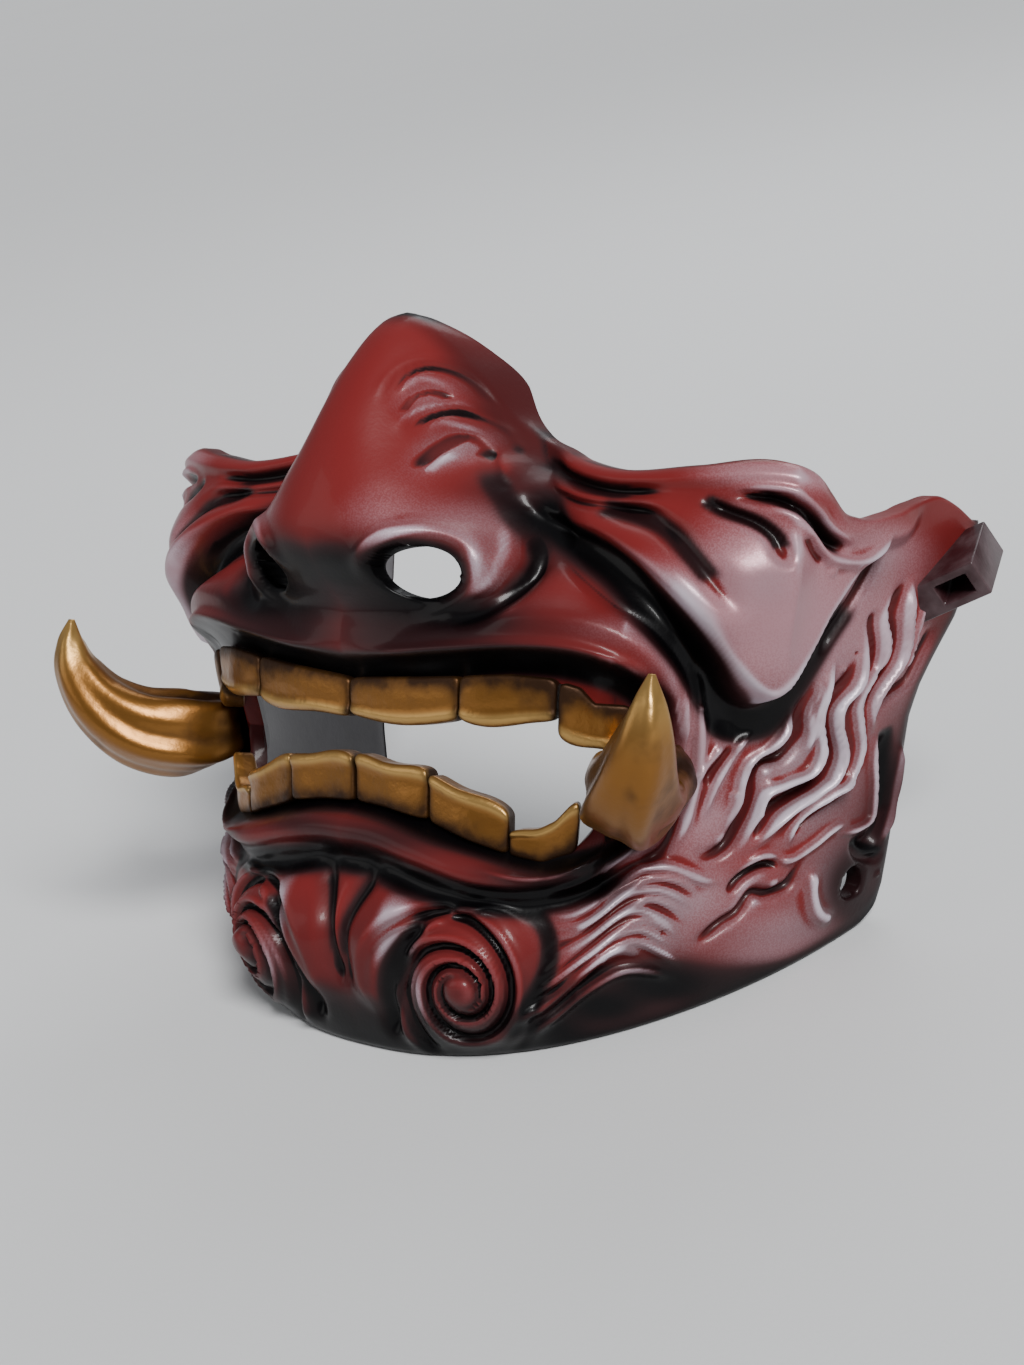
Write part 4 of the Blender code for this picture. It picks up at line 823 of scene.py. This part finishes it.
# Teeth of one side: from and to around, biting edge at each end, all in squares
upperTeeth = (
    ("upperIncisorInner", "upper_incisor_inner", 0.0, 2.96, -0.42, -0.30),
    ("upperIncisorOuter", "upper_incisor_outer", 2.96, 5.08, -0.26, -0.12),
    ("upperSideTooth", "upper_side_tooth", 5.08, 6.55, -0.40, -0.72),
)
lowerTeeth = (
    ("lowerIncisorInner", "lower_incisor_inner", 0.0, 2.12, -1.12, -1.28),
    ("lowerIncisorOuter", "lower_incisor_outer", 2.12, 4.12, -1.32, -1.95),
    ("lowerCanine", "lower_canine", 4.12, 5.60, -2.30, -2.02),
)
tooth = {
    "depth": 0.0070,
    "proud": 0.0012,
    "gap": 0.0004,
    "boxiness": 11,
    "cuts": 23,
    "flutes": 0.00035,          # depth of the hollows down the front
    "edgeLip": 0.0006,          # thickening along the biting edge
    "rootThin": 0.0006,         # thinning towards the gum
    "root": 0.08,               # squares of each tooth hidden in the gum
    "upperRoot": 0.30,
    "lowerRoot": -2.05,
}


def toothBlock():
    # a rounded cube from -1 to 1: around, root to biting edge, back to front
    bm = bmesh.new()
    bmesh.ops.create_cube(bm, size=2.0)
    bmesh.ops.subdivide_edges(bm, edges=bm.edges[:], cuts=tooth["cuts"], use_grid_fill=True)
    cube = np.array([vert.co[:] for vert in bm.verts])
    power = tooth["boxiness"]
    cube /= (np.abs(cube)**power).sum(axis=1, keepdims=True)**(1/power)
    return bm, cube.T


def bitingEdge(across, biteStart, biteEnd, upper, hooked, seed):
    along = (across + 1)/2
    wave = 0.05*np.sin(math.pi*along*2 + seed) - 0.06*np.abs(across)**4
    bite = biteStart + (biteEnd - biteStart)*along + (-wave if upper else wave)
    if hooked:
        bite = bite + 0.42*smoothStep((along - 0.62)/0.36) - 0.10*np.exp(-((along - 0.45)/0.2)**2)
    return bite


def toothRoot(around, upper):
    if upper:
        return np.maximum(linear(around, upperGum), tooth["upperRoot"]) + tooth["root"]
    return np.minimum(linear(around, lowerGum), tooth["lowerRoot"]) - tooth["root"]


def toothDepth(across, down, outward, lip, seed):
    # how far each point stands out of the face's surface
    front = smoothStep(outward*1.5)
    depth = tooth["proud"] - tooth["depth"]*(1 - outward)/2*(1 - 0.35*down)
    flute = np.cos(math.pi*(2.2*(across + 1)/2 + 0.35*down*math.sin(seed) + 0.3*seed))
    hollow = tooth["flutes"]*flute*(1 - 0.5*down) - tooth["rootThin"]*(1 - down)**3
    return depth + front*(hollow + tooth["edgeLip"]*lip), front


def buildTooth(name, node, start, end, biteStart, biteEnd, side, upper, seed, material):
    bm, (across, height, thick) = toothBlock()
    gap = tooth["gap"]/face["squareUp"]
    around = (start + end)/2 + across*((end - start - gap)/2)
    down = (height + 1)/2
    bite = bitingEdge(across, biteStart, biteEnd, upper, "Canine" in name, seed)
    root = toothRoot(around, upper)
    points, outward = baseSurface(around, root + (bite - root)*down)
    lip = np.exp(-((down - 0.86)/0.12)**2)
    depth, front = toothDepth(across, down, thick, lip, seed)
    places = toRow(points + outward*depth[:, None])
    places[:, 0] *= side
    moveVerts(bm, places)
    hand = "Left" if side > 0 else "Right"
    piece = finishPiece(name + hand, bm, material, [f"{node}_{hand.lower()}"])
    # painted shade near the gum, at the sides between the teeth and on the back faces; painted highlight
    # along the front of the biting edge
    shade = np.exp(-(down/0.30)**2) + 0.9*np.abs(across)**9 + (1 - front)*0.5
    storeValues(piece, shade=np.clip(shade, 0, 1), shine=np.clip(lip*front, 0, 1))


# Tusk axis from root to tip: out, forward, up, radius as shares
tusk = {
    "rootAt": (7.85, -0.8),
    "sink": 0.0022,
    "deepest": 0.0030,          # the root's end lies between these depths in the wall
    "shallowest": 0.0014,
    "reach": 0.0205,
    "forward": 0.0392,
    "rise": 0.0200,
    "radius": 0.0105,
    "sides": 72,
    "steps": 14,
    "wrinkles": 0.00055,
    "rows": ((0.00, 0.00, 0.00, 0.45), (-0.02, 0.20, -0.14, 0.74), (0.06, 0.47, -0.26, 0.98),
             (0.36, 0.70, -0.22, 0.93), (0.68, 0.87, 0.03, 0.76), (0.91, 0.97, 0.40, 0.55),
             (0.99, 1.00, 0.72, 0.33), (1.00, 1.00, 1.00, 0.07)),
}


def tuskTube(levels):
    # a straight tube with a level and an angle for each point
    bm = bmesh.new()
    bmesh.ops.create_cone(bm, cap_ends=True, segments=tusk["sides"], radius1=1, radius2=1, depth=1)
    rungs = [edge for edge in bm.edges if abs(edge.verts[0].co.z - edge.verts[1].co.z) > 0.5]
    bmesh.ops.subdivide_edges(bm, edges=rungs, cuts=levels - 2, use_grid_fill=True)
    tube = np.array([vert.co[:] for vert in bm.verts])
    return bm, np.rint((tube[:, 2] + 0.5)*(levels - 1)).astype(int), np.arctan2(tube[:, 1], tube[:, 0])


def tuskSkin(centres, radii, level, turn, along, creases):
    # a steady frame along the axis: one direction stays near upright
    runs = np.gradient(centres, axis=0)
    tangents = runs/np.linalg.norm(runs, axis=1)[:, None]
    sideways = np.cross(tangents, (0.0, 0.35, 1.0))
    sideways /= np.linalg.norm(sideways, axis=1)[:, None]
    upward = np.cross(sideways, tangents)
    wrinkle = tusk["wrinkles"]*creases*np.exp(-((along - 0.30)/0.22)**2)
    facets = 0.955 - 0.042*np.cos(5*turn + 1.2*along)
    radius = radii[level]*facets + wrinkle
    return (centres[level] + sideways[level]*(np.cos(turn)*radius)[:, None]
            + upward[level]*(np.sin(turn)*radius)[:, None])


def buildTusk(side, name, node, material):
    point, outward = (row[0] for row in baseSurface(*np.array(tusk["rootAt"])[:, None]))
    rows = smoothRoute(tusk["rows"], tusk["steps"])
    reach = np.array([tusk["reach"], -tusk["forward"], tusk["rise"]])
    centres = point - outward*tusk["sink"] + rows[:, :3]*reach
    radii = np.clip(rows[:, 3], 0.05, None)*tusk["radius"]
    bm, level, turn = tuskTube(len(rows))
    along = np.linspace(0, 1, len(rows))[level]
    creases = (np.cos(5*turn + 9*along + 1.3*np.sin(7*along))
               + 0.6*np.cos(9*turn - 6*along + 2*np.sin(3*along)))
    places = tuskSkin(centres, radii, level, turn, along, creases)
    # the root ends inside the wall, neither through the lining nor with its rim outside
    depth = (point - places) @ outward
    pressed = (np.clip(depth - tusk["deepest"], 0, None)*(along < 0.16)
               - np.clip(tusk["shallowest"] - depth, 0, None)*smoothStep(1 - along/0.10))
    places = toRow(places + pressed[:, None]*outward)
    places[:, 0] *= side
    moveVerts(bm, places)
    piece = finishPiece(name, bm, material, [node])
    # painted shade near the root where it leaves the mouth and in the wrinkles' creases; painted highlight
    # towards the tip
    creaseShade = 0.55*np.clip(-creases/1.6, 0, 1)*np.exp(-((along - 0.3)/0.25)**2)
    storeValues(piece, shade=np.clip(1.1 - 3.2*along, 0, 1) + creaseShade, shine=smoothStep((along - 0.55)/0.45))


# Colours of the paint, from the deepest to the lightest
finish = {
    "red": (0.150, 0.0150, 0.0150, 1),
    # maroonShade: painted shade in the broad hollows
    "maroonShade": (0.040, 0.0080, 0.0085, 1),
    # umber and black: painted shade in folds and grooves, and the mask's own dark airbrushing in the dark
    # zones
    "umber": (0.028, 0.0090, 0.0100, 1),
    "black": (0.0010, 0.0008, 0.0012, 1),
    "pink": (0.385, 0.195, 0.220, 1),
    "mauve": (0.225, 0.175, 0.195, 1),
    "silver": (0.60, 0.53, 0.61, 1),
    "gold": (0.215, 0.092, 0.018, 1),
    # brown: painted shade on the teeth and tusks, and their random worn patches
    "brown": (0.022, 0.008, 0.003, 1),
    # paleGold: painted highlight on the teeth's biting edges and towards the tusks' tips
    "paleGold": (0.50, 0.31, 0.10, 1),
    "speck": 2600.0,            # pearl flakes per metre
    "pearlMetal": 0.30,
    "lacquerSpecular": 0.12,
    "coat": 0.10,
    "coatRoughness": 0.08,
    "goldMetal": 0.75,
    "hollow": (0.085, 0.080, 0.085, 1),
    "hollowPale": (0.120, 0.114, 0.120, 1),
    "lug": (0.028, 0.009, 0.011, 1),
    "lugPale": (0.085, 0.055, 0.060, 1),
}


def newMaterial(name):
    material = bpy.data.materials.new(name)
    material.use_nodes = True
    tree = material.node_tree
    return material, tree, tree.nodes["Principled BSDF"]


def add(tree, kind, **settings):
    node = tree.nodes.new(kind)
    for key, value in settings.items():
        setattr(node, key, value)
    return node


def reading(tree, name):
    return add(tree, "ShaderNodeAttribute", attribute_name=name).outputs["Fac"]


def ranged(tree, value, low, high, toLow=0.0, toHigh=1.0):
    node = add(tree, "ShaderNodeMapRange", interpolation_type='SMOOTHSTEP')
    for key, number in (("From Min", low), ("From Max", high), ("To Min", toLow), ("To Max", toHigh)):
        node.inputs[key].default_value = number
    tree.links.new(value, node.inputs["Value"])
    return node.outputs["Result"]


def maths(tree, operation, a, b):
    node = add(tree, "ShaderNodeMath", operation=operation, use_clamp=False)
    for socket, value in zip(node.inputs, (a, b)):
        if isinstance(value, (int, float)):
            socket.default_value = value
        else:
            tree.links.new(value, socket)
    return node.outputs["Value"]


def mixed(tree, factor, a, b):
    node = add(tree, "ShaderNodeMix", data_type='RGBA')
    for socket, value in zip((node.inputs[0], node.inputs[6], node.inputs[7]), (factor, a, b)):
        if isinstance(value, (int, float, tuple)):
            socket.default_value = value
        else:
            tree.links.new(value, socket)
    return node.outputs[2]


def noiseAt(tree, scale, detail=3.0, rough=0.55):
    place = add(tree, "ShaderNodeTexCoord").outputs["Object"]
    node = add(tree, "ShaderNodeTexNoise")
    if isinstance(scale, float):
        node.inputs["Scale"].default_value = scale
    else:
        tree.links.new(scale, node.inputs["Scale"])
    node.inputs["Detail"].default_value = detail
    node.inputs["Roughness"].default_value = rough
    tree.links.new(place, node.inputs["Vector"])
    return node.outputs["Fac"]


def grainGroup():
    # soft clouds and a fine uneven surface, for every painted material
    group = bpy.data.node_groups.new("paintGrain", "ShaderNodeTree")
    for name, number in (("Cloud Scale", 60.0), ("Grain Scale", 900.0), ("Grain Depth", 0.0004)):
        group.interface.new_socket(name, in_out='INPUT', socket_type='NodeSocketFloat').default_value = number
    group.interface.new_socket("Cloud", in_out='OUTPUT', socket_type='NodeSocketFloat')
    group.interface.new_socket("Normal", in_out='OUTPUT', socket_type='NodeSocketVector')
    given = add(group, "NodeGroupInput").outputs
    result = add(group, "NodeGroupOutput").inputs
    group.links.new(noiseAt(group, given["Cloud Scale"], 4.0), result["Cloud"])
    bump = add(group, "ShaderNodeBump")
    bump.inputs["Strength"].default_value = 0.3
    group.links.new(given["Grain Depth"], bump.inputs["Distance"])
    group.links.new(noiseAt(group, given["Grain Scale"], 3.0), bump.inputs["Height"])
    group.links.new(bump.outputs["Normal"], result["Normal"])


def grained(tree, cloudScale, grainScale, grainDepth):
    node = add(tree, "ShaderNodeGroup", node_tree=bpy.data.node_groups["paintGrain"])
    node.inputs["Cloud Scale"].default_value = cloudScale
    node.inputs["Grain Scale"].default_value = grainScale
    node.inputs["Grain Depth"].default_value = grainDepth
    return node.outputs["Cloud"], node.outputs["Normal"]


def pearlCover(tree, pearl, ridge, crease):
    # pearl paint lies on the high places of its zones, thin and speckled at its edges
    flakes = noiseAt(tree, finish["speck"], 1.0)
    speckle = ranged(tree, flakes, 0.36, 0.66, -0.11, 0.11)
    cover = maths(tree, 'MULTIPLY', pearl, ranged(tree, ridge, 0.0, 1.0, 0.92, 1.25))
    cover = maths(tree, 'ADD', cover, maths(tree, 'MULTIPLY', ridge, 0.16))
    cover = maths(tree, 'SUBTRACT', cover, maths(tree, 'MULTIPLY', crease, 1.10))
    cover = maths(tree, 'ADD', cover, maths(tree, 'MULTIPLY', speckle, pearl))
    return ranged(tree, cover, 0.12, 0.92, 0.0, 0.94)


def darkened(tree, colour, pearl, dark, ridge, crease):
    # painted shade in the folds and grooves, and the dark zones (partly the mask's own dark airbrushing):
    # first umber, then black; crests are kept lighter
    shade = maths(tree, 'MULTIPLY', crease, ranged(tree, pearl, 0.15, 0.6, 0.85, 0.35))
    shade = maths(tree, 'MAXIMUM', shade, dark)
    shade = maths(tree, 'SUBTRACT', shade, maths(tree, 'MULTIPLY', ridge, 0.30))
    colour = mixed(tree, ranged(tree, shade, 0.0, 0.65), colour, finish["umber"])
    return mixed(tree, ranged(tree, shade, 0.40, 0.95), colour, finish["black"])


def lacquerMaterial():
    material, tree, surface = newMaterial("lacquerPaint")
    fine, broad, pearl = (reading(tree, name) for name in ("fine", "broad", "pearl"))
    dark, grey = reading(tree, "dark"), reading(tree, "grey")
    cloud, normal = grained(tree, 42.0, 900.0, 0.00012)
    ridge = ranged(tree, fine, 0.020, 0.110)
    crease = ranged(tree, fine, -0.012, -0.080)
    # painted shade: the broad hollows of the face turn maroon
    low = maths(tree, 'MULTIPLY', ranged(tree, broad, 0.05, -0.25), 0.85)
    red = mixed(tree, low, finish["red"], finish["maroonShade"])
    cover = pearlCover(tree, pearl, ridge, crease)
    tint = mixed(tree, grey, finish["pink"], finish["mauve"])
    glint = maths(tree, 'MULTIPLY', ridge, ranged(tree, cloud, 0.35, 0.62, 0.25, 0.90))
    tint = mixed(tree, glint, tint, finish["silver"])
    colour = darkened(tree, mixed(tree, cover, red, tint), pearl, dark, ridge, crease)
    tree.links.new(colour, surface.inputs["Base Color"])
    tree.links.new(maths(tree, 'MULTIPLY', cover, finish["pearlMetal"]), surface.inputs["Metallic"])
    tree.links.new(ranged(tree, cloud, 0.3, 0.7, 0.30, 0.42), surface.inputs["Roughness"])
    surface.inputs["Specular IOR Level"].default_value = finish["lacquerSpecular"]
    surface.inputs["Coat Weight"].default_value = finish["coat"]
    surface.inputs["Coat Roughness"].default_value = finish["coatRoughness"]
    tree.links.new(normal, surface.inputs["Normal"])
    return material


def plainMaterial(name, colour, other, roughness, cloudScale=60.0):
    material, tree, surface = newMaterial(name)
    cloud, normal = grained(tree, cloudScale, 900.0, 0.00015)
    mottled = mixed(tree, ranged(tree, cloud, 0.35, 0.68), colour, other)
    tree.links.new(mottled, surface.inputs["Base Color"])
    uneven = ranged(tree, cloud, 0.3, 0.7, roughness - 0.05, roughness + 0.08)
    tree.links.new(uneven, surface.inputs["Roughness"])
    surface.inputs["Specular IOR Level"].default_value = 0.35
    tree.links.new(normal, surface.inputs["Normal"])
    return material


def goldMaterial(name, grainDepth):
    material, tree, surface = newMaterial(name)
    shade, shine = reading(tree, "shade"), reading(tree, "shine")
    cloud, normal = grained(tree, 190.0, 420.0, grainDepth)
    patch = noiseAt(tree, 75.0, 3.0)
    # painted highlight: shine turns the gold pale
    bright = ranged(tree, shine, 0.1, 1.0, 0.0, 0.7)
    colour = mixed(tree, bright, finish["gold"], finish["paleGold"])
    # painted shade from the shade attribute, plus random worn patches, turns the gold brown
    shadeAndWear = maths(tree, 'ADD', shade, ranged(tree, patch, 0.46, 0.70, 0.0, 0.50))
    shadeAndWear = maths(tree, 'MULTIPLY', shadeAndWear, ranged(tree, cloud, 0.3, 0.65, 0.65, 1.0))
    colour = mixed(tree, ranged(tree, shadeAndWear, 0.08, 1.0, 0.0, 0.94), colour, finish["brown"])
    tree.links.new(colour, surface.inputs["Base Color"])
    surface.inputs["Metallic"].default_value = finish["goldMetal"]
    tree.links.new(ranged(tree, shadeAndWear, 0.0, 1.0, 0.30, 0.50), surface.inputs["Roughness"])
    tree.links.new(normal, surface.inputs["Normal"])
    return material


# Floor, light and camera
studio = {
    "floorSize": 24.0,
    "floorColour": (0.64, 0.645, 0.65, 1),
    "sunStrength": 4.4,
    "sunAngle": 22.0,
    "fillPower": 2.5,
    "rimPower": 4.0,
    "skyStrength": 0.27,
}


def buildFloor():
    bm = bmesh.new()
    bmesh.ops.create_grid(bm, x_segments=8, y_segments=8, size=studio["floorSize"]/2)
    mesh = bpy.data.meshes.new("floor")
    bm.to_mesh(mesh)
    bm.free()
    colour = studio["floorColour"]
    duller = tuple(0.97*part for part in colour[:3]) + (1,)
    mesh.materials.append(plainMaterial("paleFloor", colour, duller, 0.6, 3.0))
    floor = bpy.data.objects.new("floor", mesh)
    bpy.context.scene.collection.objects.link(floor)


def placeLight(light, place, target=(0, 0, 0.07)):
    lamp = bpy.data.objects.new(light.name, light)
    lamp.location = place
    lamp.rotation_euler = (Vector(target) - Vector(place)).to_track_quat('-Z', 'Y').to_euler()
    bpy.context.scene.collection.objects.link(lamp)


def areaLight(name, place, size, power, colour):
    light = bpy.data.lights.new(name, 'AREA')
    light.size = size
    light.energy = power
    light.color = colour
    placeLight(light, place)


def lightStudio():
    window = bpy.data.lights.new("windowLight", 'SUN')
    window.energy = studio["sunStrength"]
    window.angle = math.radians(studio["sunAngle"])
    placeLight(window, (0.95, -0.45, 1.1))
    areaLight("fillLight", (-0.6, -0.9, 0.6), 0.8, studio["fillPower"], (1.0, 0.99, 0.97))
    areaLight("rimLight", (-0.2, 0.8, 0.8), 0.6, studio["rimPower"], (0.95, 0.97, 1.0))
    world = bpy.data.worlds.new("studioSky")
    world.use_nodes = True
    sky = world.node_tree.nodes["Background"]
    sky.inputs["Color"].default_value = (0.80, 0.83, 0.88, 1)
    sky.inputs["Strength"].default_value = studio["skyStrength"]
    bpy.context.scene.world = world


# The photograph's viewpoint, worked out in the upright face's axes
camera = {
    "place": (0.3819, -0.3705, 0.0327),
    "right": (0.7393, 0.6711, 0.0561),
    "forward": (-0.6691, 0.7414, -0.0507),
    "lens": 66.0,
    "sensor": 36.04,
}


def placeCamera():
    data = bpy.data.cameras.new("photoView")
    data.sensor_fit = 'VERTICAL'
    data.sensor_height = camera["sensor"]
    data.lens = camera["lens"]
    turn = Matrix.Rotation(math.radians(-face["lean"]), 3, 'X')
    right = (turn @ Vector(camera["right"])).normalized()
    back = (turn @ -Vector(camera["forward"])).normalized()
    up = back.cross(right).normalized()
    right = up.cross(back)
    view = bpy.data.objects.new("photoView", data)
    axes = Matrix((right, up, back)).transposed().to_4x4()
    view.matrix_world = Matrix.Translation(turn @ Vector(camera["place"]) + Vector(face["seat"])) @ axes
    bpy.context.scene.collection.objects.link(view)
    bpy.context.scene.camera = view


placeCamera()
grainGroup()
buildFace(lacquerMaterial())
print("face built")
buildLining(plainMaterial("linedHollow", finish["hollow"], finish["hollowPale"], 0.34))
lugPaint = plainMaterial("lugPaint", finish["lug"], finish["lugPale"], 0.34, 90.0)
buildLug(1, "strapLugLeft", lugPaint)
buildLug(-1, "strapLugRight", lugPaint)
print("lining and lugs built")
toothGold = goldMaterial("toothGold", 0.0006)
for side in (1, -1):
    for upper, rows in ((True, upperTeeth), (False, lowerTeeth)):
        for seed, (name, node, *sizes) in enumerate(rows):
            buildTooth(name, node, *sizes, side, upper, seed + 3*upper + 1.7*(side > 0), toothGold)
tuskGold = goldMaterial("tuskGold", 0.0003)
buildTusk(1, "tuskLeft", "tusk_left", tuskGold)
buildTusk(-1, "tuskRight", "tusk_right", tuskGold)
print("teeth and tusks built")
buildFloor()
lightStudio()
